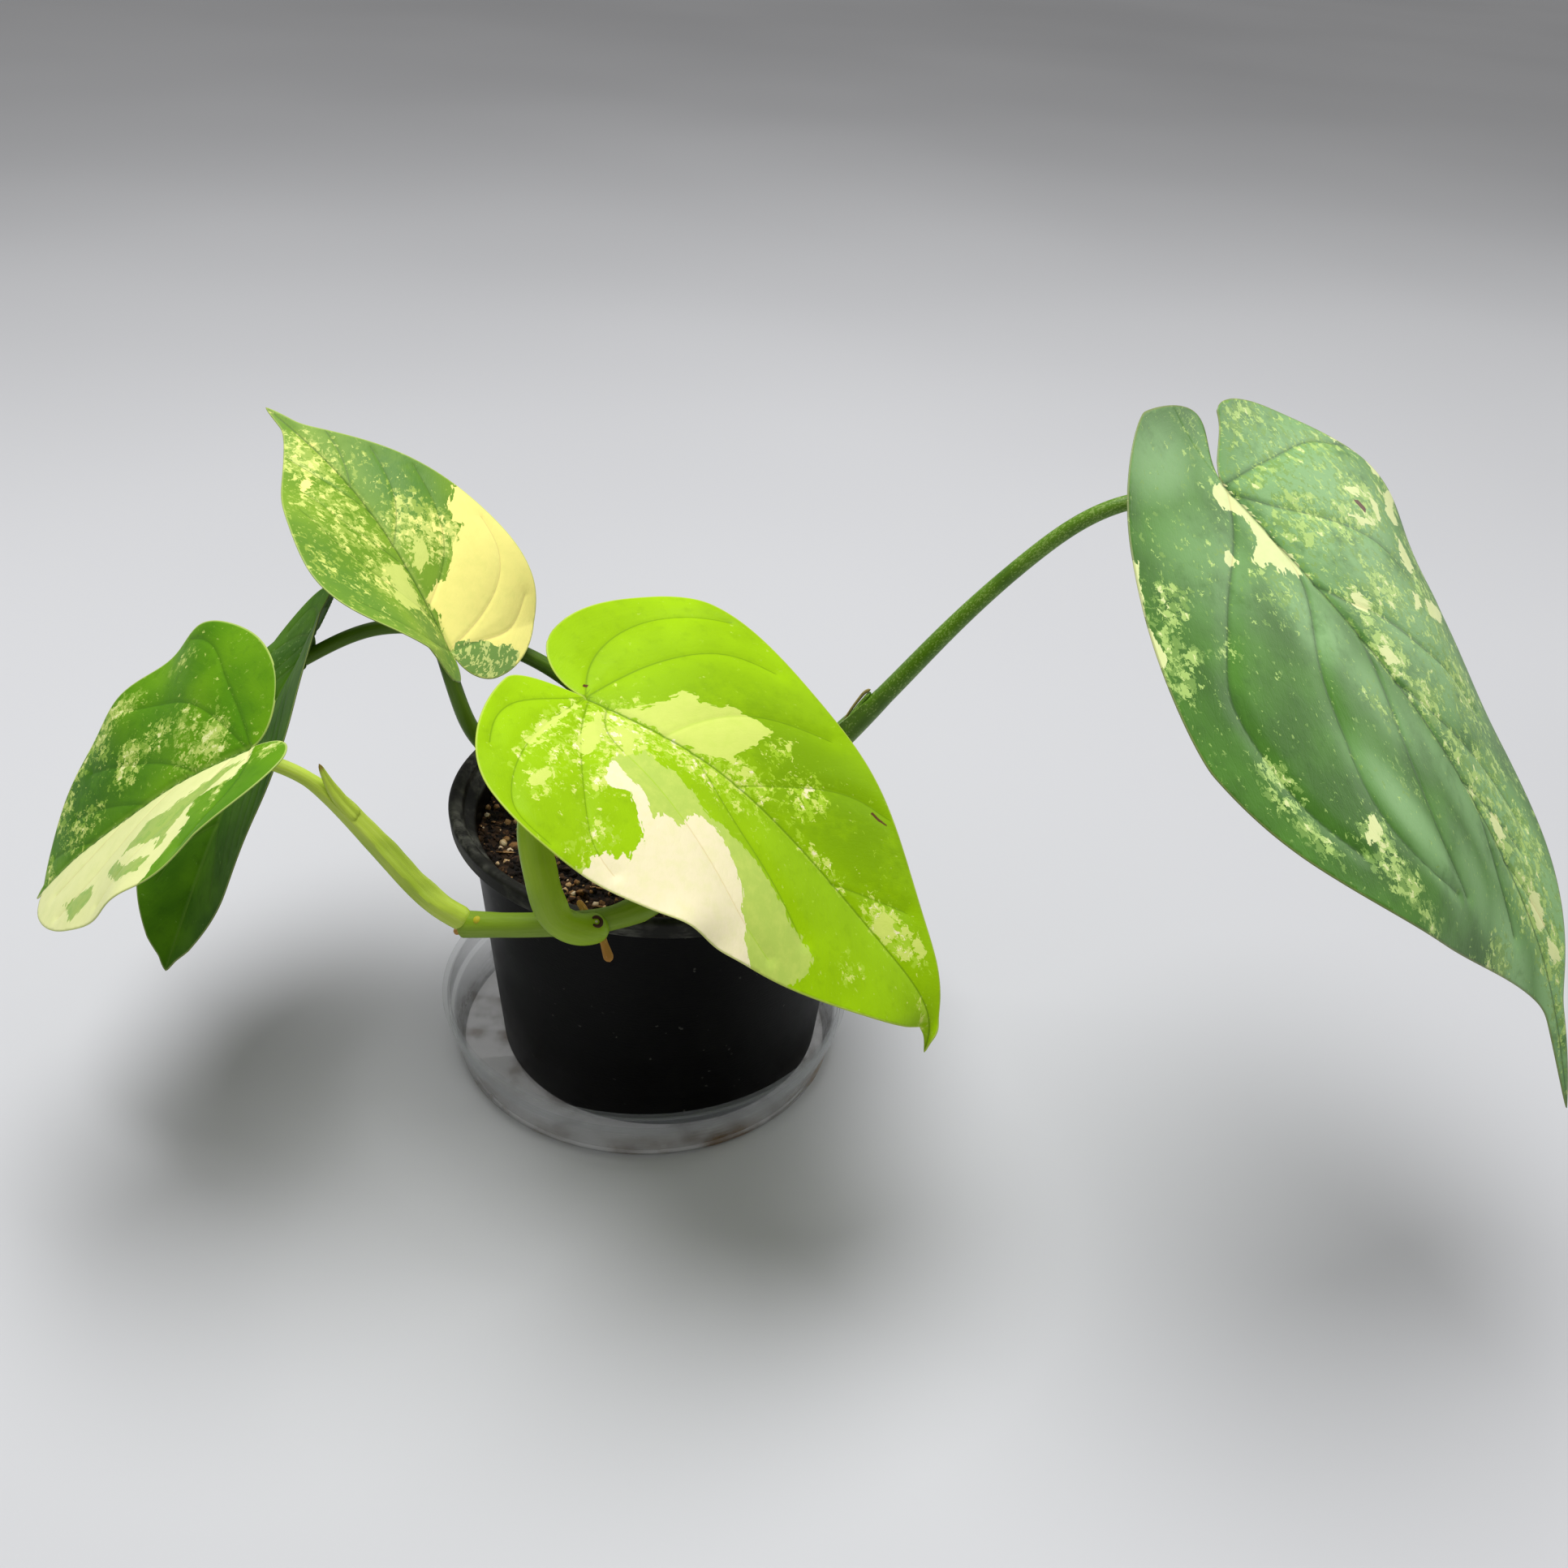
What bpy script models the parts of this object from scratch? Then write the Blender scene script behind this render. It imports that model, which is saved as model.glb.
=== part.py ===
"""A potted variegated syngonium: pot, saucer, soil, vine stem and five leaves.

Run it with Blender 4.5. Lengths are stated in millimetres and built in metres, +Z up. The origin is
on the saucer's underside, on the pot's axis. +X is to the right in the front view, and +Y is away.
"""

import math
from dataclasses import dataclass, replace

import bmesh
import bpy
import numpy as np
from mathutils import Vector

MM = 0.001
GAP = 0.3  # clearance between two pieces that meet

# Saucer: a thin tray with a stepped wall and an outward lip
SAUCER_CENTRE = (-4.6, -1.9)
SAUCER_SKIN = 0.9
SAUCER_BASE_RADIUS = 58.8
SAUCER_STEP_RADIUS = 62.2
SAUCER_STEP_HEIGHT = 12.0
SAUCER_LIP_RADIUS = 64.0
SAUCER_HEIGHT = 19.6

# Pot: a tapered nursery pot of 5 inches (127 mm) across its lip
POT_FOOT = SAUCER_SKIN + GAP
POT_TOP = 88.5
POT_LIP_RADIUS = 63.5
POT_LIP_DEPTH = 6.0
POT_LIP_WIDTH = 4.2
POT_FOOT_RADIUS = 49.6
POT_SHOULDER_RADIUS = 57.3
POT_WALL = 1.4
POT_FLOOR_RISE = 3.0
DRAIN_COUNT = 6
DRAIN_RADIUS = 5.0
DRAIN_CIRCLE = 36.0

# Soil
SOIL_TOP = 76.0
SOIL_LUMP = 1.6
SOIL_LUMP_AT_WALL = 0.4  # share of a lump's height next to the pot
SOIL_RINGS = 7
SOIL_SEGMENTS = 40
SOIL_SEED = 7

# Blades: sheets that thicken to a rib along the midrib's underside
BLADE_THICKNESS = 0.8
RIB_THICKNESS = 2.2
RIB_HALF_WIDTH = 1.5
EDGE_STATIONS = (0.3, 0.55, 0.8, 1.0)  # shares of the way from midrib to edge, past the rib's flank
ALONG_STEPS = 21
SINUS_SHARE = 0.06  # where the first row leaves the notch, as a share of the edge
BASAL_SHARE = 0.2  # up to this share the rows fan out from the notch
VEIN_SWEEP = 1.8
LOBE_SHARE = 0.18
SHOULDER_SHARE = 0.46
STALK_SEAT = 2.0  # how far past the notch a stalk meets its blade


@dataclass(frozen=True)
class Half:
    """One half of a blade laid flat, in mm, and how it stands off the midrib, in degrees.

    width is the half's greatest width, at the distance widest past the notch. The lobe reaches
    lobe behind the notch, at lobe_mid from the midrib. The front edge follows
    width * (1 - u ** shoulder) ** taper, and roundness shapes the lobe's corner. fold is the rise from the
    midrib at the notch and at the tip, curl is the turn from the midrib to the edge, and wave is the
    height and phase of the edge's ripple. tuck is how far the lobe bulges towards the notch's other side.
    """

    width: float
    widest: float
    lobe: float
    lobe_mid: float
    taper: float
    shoulder: float
    roundness: float
    fold: tuple
    curl: float
    wave: tuple
    tuck: float = 0


@dataclass(frozen=True)
class Blade:
    """A leaf blade: its midrib in space, its roll and twist in degrees, and its two halves."""

    midrib: tuple
    roll: float
    twist: float
    lobe_arch: float  # curvature of the lobes behind the notch, 1/mm
    drip: tuple  # length and half width of the drip tip
    ripple: float  # length of one wave along the edge
    left: Half
    right: Half
    colour: tuple


@dataclass(frozen=True)
class Stalk:
    """A leaf stalk from root to blade: path and radii, and its sheath.

    path stops short of the blade, and the stalk's seat on the blade is added to it. radii are
    (share of the length, radius). sheath is (start, end, height), with start and end as shares of
    the length and height as a share of the radius. groove is the side that the sheath opens to.
    tongue is where the sheath's free end points, or None.
    """

    path: tuple
    radii: tuple
    sheath: tuple
    groove: tuple
    tongue: tuple
    colour: tuple


LEAVES = {
    "centre": Blade(
        midrib=((-16, -51.5, 148), (14.5, -60, 137.5), (42, -70.5, 118), (64, -80.5, 97.5), (75.7, -87, 80.5),
                (75, -88, 72)),
        roll=3, twist=3, lobe_arch=0.009, drip=(8, 2.4), ripple=60,
        left=Half(52, 12, 17, 15, 0.93, 1.58, 1.8, (14, 6), -12, (1.8, -10)),
        right=Half(56.5, 14, 18, 10, 0.75, 1.8, 2.1, (10, 6), -18, (2.3, 80)),
        colour=(0.29, 0.50, 0.02)),
    "right": Blade(
        midrib=((134.4, -34.4, 208.5), (159, -49, 189), (183, -61, 167), (206.7, -69, 138.7), (227, -78.5, 106),
                (240, -89.5, 69.7)),
        roll=2.3, twist=5.3, lobe_arch=0.0172, drip=(24, 3.5), ripple=67.9,
        left=Half(73.5, 38.1, 15.9, 18.7, 1.22, 1.9, 1.52, (15.3, 5.7), -29.5, (2.4, -13), -6.5),
        right=Half(72.2, 42.9, 24.3, 13.9, 1.28, 1.96, 1.37, (-2.5, -7.4), -13, (0.5, -91), 13.5),
        colour=(0.07, 0.19, 0.07)),
    "upper_left": Blade(
        midrib=((-60, -6, 134), (-72, 4, 151), (-87, 17, 165.5), (-105, 30, 177), (-120, 38, 185)),
        roll=3, twist=-48, lobe_arch=-0.003, drip=(7, 2), ripple=55,
        left=Half(38.4, 14.7, 9.8, 13.8, 1.12, 1.98, 1.88, (22, 3), -7, (3.6, 118)),
        right=Half(37.7, 12, 11.2, 11.1, 1.2, 1.87, 1.98, (21, 6), -7, (1.2, 3)),
        colour=(0.22, 0.38, 0.06)),
    "lower_left": Blade(
        midrib=((-95, -70, 138), (-113, -67.5, 126.5), (-131, -64.5, 111.5), (-148, -62, 96), (-164, -58, 78)),
        roll=-27, twist=-9, lobe_arch=-0.005, drip=(5, 1.5), ripple=32,
        left=Half(39.8, 17.3, 16.7, 13.3, 0.7, 2.1, 1.58, (22, 10), -14, (0.8, -195)),
        right=Half(41.7, 16.8, 9.2, 15.6, 0.72, 2.13, 1.69, (22, 11), -14, (1.5, -70)),
        colour=(0.13, 0.30, 0.02)),
    "back_left": Blade(
        midrib=((-106, 14, 125), (-115, -4, 108), (-123, -21, 90), (-130, -35, 70.5), (-136, -51, 50)),
        roll=26, twist=-34, lobe_arch=0.002, drip=(4, 1.5), ripple=57,
        left=Half(41, 12.5, 16.7, 12.8, 0.73, 1.87, 1.79, (11, 16), -6, (0.2, -58)),
        right=Half(41.3, 12.5, 18.2, 11.7, 0.71, 1.89, 1.78, (9, 17), -3, (0.3, 52)),
        colour=(0.03, 0.09, 0.03)),
}

STALKS = {
    "centre": Stalk(
        path=((-8, -70, 92.2), (-14.6, -73.5, 92.4), (-20, -74, 95.5), (-24.5, -71.5, 105.5),
              (-27.8, -64, 116.5), (-24, -57, 133)),
        radii=((0, 4.0), (0.25, 4.4), (0.5, 4.2), (0.75, 3.0), (1, 2.4)),
        sheath=(0.15, 0.8, 0.16), groove=(1, 0.6, 0.2), tongue=None,
        colour=(0.30, 0.42, 0.06)),
    "right": Stalk(
        path=((20, 2, 62), (30, -2, 84), (43, -5, 106), (56, -9, 125), (74, -19, 156), (92, -29, 184),
              (111, -36, 202.5)),
        radii=((0, 5.6), (0.15, 5.2), (0.3, 4.4), (0.42, 3.5), (0.7, 2.6), (1, 2.3)),
        sheath=(0.05, 0.41, 0.18), groove=(-0.6, 0.2, 0.8), tongue=(62, -12, 139),
        colour=(0.10, 0.20, 0.04)),
    "upper_left": Stalk(
        path=((-26, 6, 62), (-36, 4, 80), (-48, 1, 94), (-56, -3, 107), (-59, -6, 119)),
        radii=((0, 4.4), (0.3, 3.6), (0.6, 2.5), (1, 2.1)),
        sheath=(0.05, 0.5, 0.16), groove=(0.6, 0, 0.8), tongue=None,
        colour=(0.15, 0.28, 0.04)),
    "lower_left": Stalk(
        path=((-46, -62.3, 83.5), (-52.3, -63.5, 88.6), (-63.5, -65, 103), (-75, -66, 119.3),
              (-84, -67.5, 129.3)),
        radii=((0, 3.5), (0.2, 3.5), (0.5, 3.2), (0.72, 2.7), (0.8, 2.1), (1, 2.0)),
        sheath=(0.1, 0.76, 0.24), groove=(0.5, -0.5, 0.8), tongue=(-79.3, -68, 133.5),
        colour=(0.30, 0.42, 0.08)),
    "back_left": Stalk(
        path=((-2, 20, 62), (-10, 21, 84), (-24, 21.5, 105), (-42, 21, 119), (-66, 19.5, 127),
              (-88, 17, 127.5)),
        radii=((0, 4.4), (0.2, 3.6), (0.4, 2.5), (1, 2.0)),
        sheath=(0.05, 0.35, 0.16), groove=(-0.6, 0, 0.8), tongue=None,
        colour=(0.10, 0.20, 0.03)),
}

STALKS_IN_SOIL = ("right", "upper_left", "back_left")
STALKS_ON_STEM = ("centre", "lower_left")

# The vine stem lies over the front of the pot's lip, with a node at each swelling
STEM_PATH = ((24, -20, 62), (19, -38, 82), (8, -56, 93.5), (-7, -68.5, 93), (-20, -68, 89.5), (-34, -65.5, 86),
             (-47.3, -62.2, 82.7))
STEM_RADII = ((0, 3.0), (0.3, 3.0), (0.5, 3.1), (0.56, 3.8), (0.62, 3.2), (0.9, 3.3), (1, 3.7))
STEM_COLOUR = (0.26, 0.40, 0.07)

# Aerial roots: from, to, radius at the stem and at the end
ROOTS = {
    "below": ((-10.5, -71.5, 90.5), (-7, -73.5, 82.5), 1.5, 1.3),
    "above": ((-14.5, -66, 91), (-17, -61.5, 92.5), 1.3, 0.9),
    "left": ((-48, -61, 82), (-51, -57, 75.5), 1.5, 1.1),
}
ROOT_COLOUR = (0.45, 0.27, 0.05)

STALK_SIDES = 12
STALK_RINGS = 18


class Spline:
    """Smooth curve through points, natural at both ends, run by its length in mm."""

    def __init__(self, points):
        self.points = np.array(points, dtype=float)
        self.steps = np.linalg.norm(np.diff(self.points, axis=0), axis=1)
        self.knots = np.concatenate(([0.0], np.cumsum(self.steps)))
        self.length = self.knots[-1]
        self.bends = self._bends()

    def _bends(self):
        """Second derivatives at the points, from the continuity of the slope."""
        count = len(self.knots)
        system = np.eye(count)
        right = np.zeros_like(self.points)
        rises = np.diff(self.points, axis=0) / self.steps[:, None]
        for i in range(1, count - 1):
            system[i, i - 1] = self.steps[i - 1]
            system[i, i] = 2 * (self.steps[i - 1] + self.steps[i])
            system[i, i + 1] = self.steps[i]
            right[i] = 6 * (rises[i] - rises[i - 1])
        return np.linalg.solve(system, right)

    def _span(self, distance):
        """The span that holds a distance, with the distances to its two ends."""
        i = int(np.clip(np.searchsorted(self.knots, distance) - 1, 0, len(self.steps) - 1))
        return i, self.steps[i], distance - self.knots[i], self.knots[i + 1] - distance

    def at(self, distance):
        """Point at a distance along the curve."""
        i, step, before, after = self._span(distance)
        bend = self.bends[i] * (after**3 / step - step * after)
        bend += self.bends[i + 1] * (before**3 / step - step * before)
        return Vector((self.points[i] * after + self.points[i + 1] * before) / step + bend / 6)

    def along(self, distance):
        """Unit direction at a distance along the curve."""
        i, step, before, after = self._span(distance)
        rise = (self.points[i + 1] - self.points[i]) / step
        bend = self.bends[i + 1] * (3 * before**2 / step - step) - self.bends[i] * (3 * after**2 / step - step)
        return Vector(rise + bend / 6).normalized()


def outline(half, length, drip, share):
    """Point of a half's edge as (from midrib, past notch), at a share of the way from notch to tip."""
    if share <= LOBE_SHARE:
        turn = share / LOBE_SHARE * math.pi / 2
        inner = half.lobe_mid * (1 - math.cos(turn)) - half.tuck * math.sin(2 * turn) ** 2
        return inner, -half.lobe * math.sin(turn)
    if share <= SHOULDER_SHARE:
        turn = (share - LOBE_SHARE) / (SHOULDER_SHARE - LOBE_SHARE) * math.pi / 2
        power = 2 / half.roundness
        outward = (half.width - half.lobe_mid) * math.sin(turn) ** power
        back = (half.widest + half.lobe) * max(math.cos(turn), 0) ** power
        return half.lobe_mid + outward, half.widest - back
    front = ((share - SHOULDER_SHARE) / (1 - SHOULDER_SHARE)) ** 0.85
    past = half.widest + (length - half.widest) * front
    drip_length, drip_width = drip
    reach = min((past - half.widest) / (length - drip_length - half.widest), 1)
    body = half.width * (1 - reach**half.shoulder) ** half.taper
    point = drip_width * min((length - past) / drip_length, 2.5) ** 0.8 if past < length else 0
    return (body**3 + point**3) ** (1 / 3), past


def blade_frame(blade, rib, past):
    """Midrib point, and the unit vectors along it, up from it and to the right of it."""
    inside = min(max(past, 0), rib.length)
    along = rib.along(inside)
    level = (Vector((0, 0, 1)) - along * along.z).normalized()
    turn = math.radians(blade.roll + blade.twist * (inside / rib.length - 0.5))
    up = level * math.cos(turn) + along.cross(level) * math.sin(turn)
    behind = min(past, 0)
    point = rib.at(inside) + along * behind + up * (blade.lobe_arch * behind**2 / 2)
    return point, along, up, along.cross(up)


def blade_point(blade, rib, station, share):
    """Point on the blade's upper face. station counts from the midrib, minus to the left."""
    half = blade.right if station > 0 else blade.left
    edge_from, edge_past = outline(half, rib.length, blade.drip, share)
    vein_root = rib.length * (max(share - BASAL_SHARE, 0) / (1 - BASAL_SHARE)) ** VEIN_SWEEP
    flank = min(RIB_HALF_WIDTH / max(math.hypot(edge_from, edge_past - vein_root), RIB_HALF_WIDTH), 0.2)
    reach = (0, flank, *EDGE_STATIONS)[abs(station)]
    out = reach * edge_from
    past = vein_root + reach * (edge_past - vein_root)
    point, _, up, right = blade_frame(blade, rib, past)
    progress = min(max(past / rib.length, 0), 1)
    fold = math.radians(half.fold[0] + (half.fold[1] - half.fold[0]) * progress)
    bend = math.radians(half.curl) / half.width
    sideways = (math.sin(fold + bend * out) - math.sin(fold)) / bend
    height, phase = half.wave
    ripple = height * math.sin(math.tau * past / blade.ripple + math.radians(phase)) * (out / half.width) ** 2
    rise = (math.cos(fold) - math.cos(fold + bend * out)) / bend + ripple
    return point + right * (math.copysign(1, station) * sideways) + up * rise


def material(name, colour, roughness, alpha=1.0):
    """Principled material in one colour."""
    made = bpy.data.materials.new(name)
    made.use_nodes = True
    shader = made.node_tree.nodes["Principled BSDF"]
    shader.inputs["Base Color"].default_value = (*colour, 1)
    shader.inputs["Roughness"].default_value = roughness
    shader.inputs["Metallic"].default_value = 0
    shader.inputs["Alpha"].default_value = alpha
    return made


def collection(name):
    """New collection under the scene."""
    made = bpy.data.collections.new(name)
    bpy.context.scene.collection.children.link(made)
    return made


def add_object(name, mesh, home, finish=None):
    """Object for a mesh, smooth where its faces meet gently."""
    made = bpy.data.objects.new(name, mesh)
    home.objects.link(made)
    if finish:
        mesh.materials.append(finish)
    mesh.shade_smooth()
    mesh.set_sharp_from_angle(angle=math.radians(40))
    return made


def mesh_from(bm, name):
    """Mesh from a bmesh, with its faces pointing out."""
    mesh = bpy.data.meshes.new(name)
    bm.to_mesh(mesh)
    bm.free()
    return mesh


def applied(thing):
    """Give an object its evaluated mesh and drop its modifiers."""
    view = bpy.context.evaluated_depsgraph_get()
    mesh = bpy.data.meshes.new_from_object(thing.evaluated_get(view))
    thing.modifiers.clear()
    thing.data = mesh
    return thing


def cutter(thing):
    """Mark an object as a cutter."""
    thing.hide_render = True
    thing.display_type = "WIRE"
    return thing


def combine(thing, other, operation):
    """Join another object to this one, or cut it away, and keep the result."""
    step = thing.modifiers.new(operation.title(), "BOOLEAN")
    step.operation = operation
    step.object = other
    step.solver = "EXACT"
    return applied(thing)


def make_turned(name, profile, centre, home, finish, segments=48):
    """Turn a profile of (radius, height), outer side first from the top down."""
    bm = bmesh.new()
    points = [bm.verts.new((radius * MM, 0, height * MM)) for radius, height in profile]
    for first, second in zip(points, points[1:]):
        bm.edges.new((first, second))
    thing = add_object(name, mesh_from(bm, name), home, finish)
    thing.location = (centre[0] * MM, centre[1] * MM, 0)
    screw = thing.modifiers.new("Turn", "SCREW")
    screw.steps = segments
    screw.render_steps = segments
    screw.use_merge_vertices = True
    screw.merge_threshold = 0.00001
    return applied(thing)


def make_saucer(home):
    """Thin clear tray that the pot stands in."""
    skin = SAUCER_SKIN
    step = SAUCER_STEP_HEIGHT
    wall = SAUCER_STEP_RADIUS
    top = SAUCER_HEIGHT
    foot = SAUCER_BASE_RADIUS
    below_step = wall - 1.6
    profile = [
        (wall - skin, top), (SAUCER_LIP_RADIUS, top), (SAUCER_LIP_RADIUS, top - skin), (wall + 0.2, top - skin),
        (wall, step), (below_step, step), (foot + 0.6, 1.2), (foot - 0.8, 0), (0, 0), (0, skin),
        (foot - 1.2 - skin, skin), (foot - skin, 2.2), (below_step - skin, step + skin), (wall - skin, step + skin),
        (wall - skin, top),
    ]
    finish = material("clear_plastic", (0.80, 0.82, 0.82), 0.15, alpha=0.35)
    return make_turned("saucer", profile, SAUCER_CENTRE, home, finish)


def pot_radius(height):
    """Outer radius of the pot's wall below its lip."""
    shoulder = POT_TOP - POT_LIP_DEPTH
    return POT_FOOT_RADIUS + (POT_SHOULDER_RADIUS - POT_FOOT_RADIUS) * (height - POT_FOOT) / (shoulder - POT_FOOT)


def make_pot(home, guides):
    """Tapered pot with a thick lip, a raised floor and drain holes."""
    shoulder = POT_TOP - POT_LIP_DEPTH
    lip_inner = POT_LIP_RADIUS - POT_LIP_WIDTH
    floor = POT_FOOT + POT_FLOOR_RISE
    inside = POT_SHOULDER_RADIUS - POT_WALL
    profile = [
        (lip_inner, POT_TOP - 1), (lip_inner + 1, POT_TOP), (POT_LIP_RADIUS - 1.2, POT_TOP),
        (POT_LIP_RADIUS, POT_TOP - 1.2), (POT_LIP_RADIUS - 0.4, shoulder + 0.6), (POT_LIP_RADIUS - 1, shoulder),
        (POT_SHOULDER_RADIUS, shoulder), (POT_FOOT_RADIUS + 0.4, POT_FOOT + 2), (POT_FOOT_RADIUS - 1, POT_FOOT),
        (POT_FOOT_RADIUS - 7, POT_FOOT), (POT_FOOT_RADIUS - 9, floor - POT_WALL), (0, floor - POT_WALL), (0, floor),
        (POT_FOOT_RADIUS - POT_WALL - 1, floor), (inside, shoulder), (lip_inner, shoulder + 2),
        (lip_inner, POT_TOP - 1),
    ]
    pot = make_turned("pot", profile, (0, 0), home, material("black_plastic", (0.012, 0.012, 0.015), 0.5))
    for index in range(DRAIN_COUNT):
        turn = math.tau * index / DRAIN_COUNT
        bm = bmesh.new()
        bmesh.ops.create_cone(bm, cap_ends=True, segments=12, radius1=DRAIN_RADIUS * MM,
                              radius2=DRAIN_RADIUS * MM, depth=3 * POT_FLOOR_RISE * MM)
        hole = cutter(add_object(f"drain_{index + 1}", mesh_from(bm, "drain"), guides))
        hole.location = (DRAIN_CIRCLE * math.cos(turn) * MM, DRAIN_CIRCLE * math.sin(turn) * MM, floor * MM)
        bpy.context.view_layer.update()
        combine(pot, hole, "DIFFERENCE")
    return pot


def make_soil(home, stems):
    """Potting mix: a plug that fills the pot, with a lumpy top and plain holes for the stems."""
    floor = POT_FOOT + POT_FLOOR_RISE + GAP
    top_radius = pot_radius(SOIL_TOP) - POT_WALL - GAP
    foot_radius = pot_radius(floor) - POT_WALL - GAP - 1.2
    profile = [(top_radius * (ring + 1) / SOIL_RINGS, SOIL_TOP) for ring in reversed(range(SOIL_RINGS))]
    profile = [(0, floor), (foot_radius, floor)] + profile + [(0, SOIL_TOP)]
    finish = material("potting_mix", (0.035, 0.022, 0.015), 0.95)
    soil = make_turned("soil", list(reversed(profile)), (0, 0), home, finish, SOIL_SEGMENTS)
    lumps = np.random.default_rng(SOIL_SEED)
    for vertex in soil.data.vertices:
        radius = math.hypot(vertex.co.x, vertex.co.y) / MM
        if abs(vertex.co.z - SOIL_TOP * MM) < 0.5 * MM:
            share = SOIL_LUMP_AT_WALL if radius > top_radius - 1 else min(2 * radius / top_radius, 1)
            vertex.co.z += lumps.uniform(-1, 1) * SOIL_LUMP * share * MM
    for stem in stems:
        combine(soil, stem, "DIFFERENCE")
    return soil


def make_blade(name, blade, home):
    """Blade: a grid laid over the leaf's curved sheet, thickened downwards, most along the midrib."""
    rib = Spline(blade.midrib)
    outermost = len(EDGE_STATIONS) + 1
    thin = BLADE_THICKNESS / RIB_THICKNESS
    bm = bmesh.new()
    bmesh.ops.create_grid(bm, x_segments=2 * outermost, y_segments=ALONG_STEPS, size=0.5)
    groups = {}
    for vertex in bm.verts:
        station = round(vertex.co.x * 2 * outermost)
        share = min(SINUS_SHARE + (1 - SINUS_SHARE) * (vertex.co.y + 0.5), 1)
        vertex.co = blade_point(blade, rib, station, share) * MM
        groups[vertex.index] = thin if station else 1 - (1 - thin) * share
    weight = bm.verts.layers.deform.verify()
    for vertex in bm.verts:
        vertex[weight][0] = groups[vertex.index]
    bmesh.ops.remove_doubles(bm, verts=bm.verts, dist=0.05 * MM)
    _, _, up, _ = blade_frame(blade, rib, rib.length / 2)
    bm.normal_update()
    if sum((face.normal.dot(up) for face in bm.faces)) < 0:
        bmesh.ops.reverse_faces(bm, faces=bm.faces)
    leaf = add_object(name, mesh_from(bm, name), home, material(name, blade.colour, 0.35))
    leaf.vertex_groups.new(name="rib")
    split = leaf.modifiers.new("Split", "TRIANGULATE")
    split.quad_method = "SHORTEST_DIAGONAL"
    solid = leaf.modifiers.new("Thickness", "SOLIDIFY")
    solid.thickness = RIB_THICKNESS * MM
    solid.offset = -1
    solid.vertex_group = "rib"
    return applied(leaf)


def seat_plane(blade, leaf):
    """Point and normal of the plane where a stalk meets the underside of its blade."""
    point, _, up, _ = blade_frame(blade, Spline(blade.midrib), STALK_SEAT)
    below = point - up * (3 * RIB_THICKNESS)
    _, underside, _, _ = leaf.ray_cast(below * MM, up)
    return underside / MM - up * GAP, up


def ring_shape(angle, height):
    """Share of the radius at an angle from the groove: two sheath edges with a hollow between them."""
    turn = abs(math.degrees(math.remainder(angle, math.tau)))
    edge = math.exp(-(((turn - 45) / 18) ** 2))
    hollow = math.exp(-((turn / 24) ** 2))
    return 1 + height * edge - 0.7 * height * hollow


def sheath_height(sheath, share):
    """Height of the sheath's edges at a share of the length, with a slightly wavy rim."""
    start, end, height = sheath
    if not start < share < end:
        return 0
    inside = (share - start) / (end - start)
    return height * min(inside / 0.15, 1, (1 - inside) / 0.06 + 0.35) * (1 + 0.25 * math.sin(inside * 17))


def loft_tube(name, path, radii, home, finish=None, sheath=(1, 1, 0), groove=(0, 0, 1), seat=None, grow=0.0,
              rings=STALK_RINGS, until=1.0):
    """Tube along a path whose section changes on the way. seat is a plane that cuts its far end."""
    curve = Spline(path)
    shares = [share for share, _ in radii]
    sizes = [radius for _, radius in radii]
    bm = bmesh.new()
    loops = []
    for ring in range(rings + 1):
        share = until * ring / rings
        distance = share * curve.length
        centre, along = curve.at(distance), curve.along(distance)
        inward = Vector(groove)
        inward = (inward - along * inward.dot(along)).normalized()
        side = along.cross(inward)
        radius = float(np.interp(share, shares, sizes))
        loop = []
        for step in range(STALK_SIDES):
            angle = math.tau * (step + 0.5) / STALK_SIDES
            reach = radius * ring_shape(angle, sheath_height(sheath, share)) + grow
            point = centre + inward * (reach * math.cos(angle)) + side * (reach * math.sin(angle))
            if seat and ring == rings:
                place, normal = seat
                point += along * ((place - point).dot(normal) / along.dot(normal))
            loop.append(bm.verts.new(point * MM))
        loops.append(loop)
    for lower, upper in zip(loops, loops[1:]):
        for step in range(STALK_SIDES):
            after = (step + 1) % STALK_SIDES
            bm.faces.new((lower[step], lower[after], upper[after], upper[step]))
    bm.faces.new(list(reversed(loops[0])))
    bm.faces.new(loops[-1])
    bmesh.ops.recalc_face_normals(bm, faces=bm.faces)
    return add_object(name, mesh_from(bm, name), home, finish)


def make_tongue(name, stalk, guides):
    """Free end of a sheath: a flat pointed tongue that leaves the stalk where the sheath ends."""
    curve = Spline(stalk.path)
    root = curve.at((stalk.sheath[1] - 0.05) * curve.length)
    tip = Vector(stalk.tongue)
    reach = (tip - root).length
    bm = bmesh.new()
    bmesh.ops.create_cone(bm, cap_ends=True, segments=8, radius1=2.2 * MM, radius2=0.4 * MM, depth=reach * MM)
    for vertex in bm.verts:
        vertex.co.y *= 0.5
    tongue = add_object(name, mesh_from(bm, name), guides)
    tongue.rotation_euler = (tip - root).to_track_quat("Z", "Y").to_euler()
    tongue.location = (root + tip) / 2 * MM
    bpy.context.view_layer.update()
    return tongue


def make_stalk(key, stalk, seat, home, guides):
    """Leaf stalk with its sheath, cut to lie against its blade's rib."""
    name = f"petiole_{key}"
    made = loft_tube(name, stalk.path, stalk.radii, home, material(name, stalk.colour, 0.4), stalk.sheath,
                     stalk.groove, seat)
    if stalk.tongue:
        tongue = make_tongue(f"tongue_{key}", stalk, guides)
        combine(made, tongue, "UNION")
        bpy.data.objects.remove(tongue)
    return made


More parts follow.
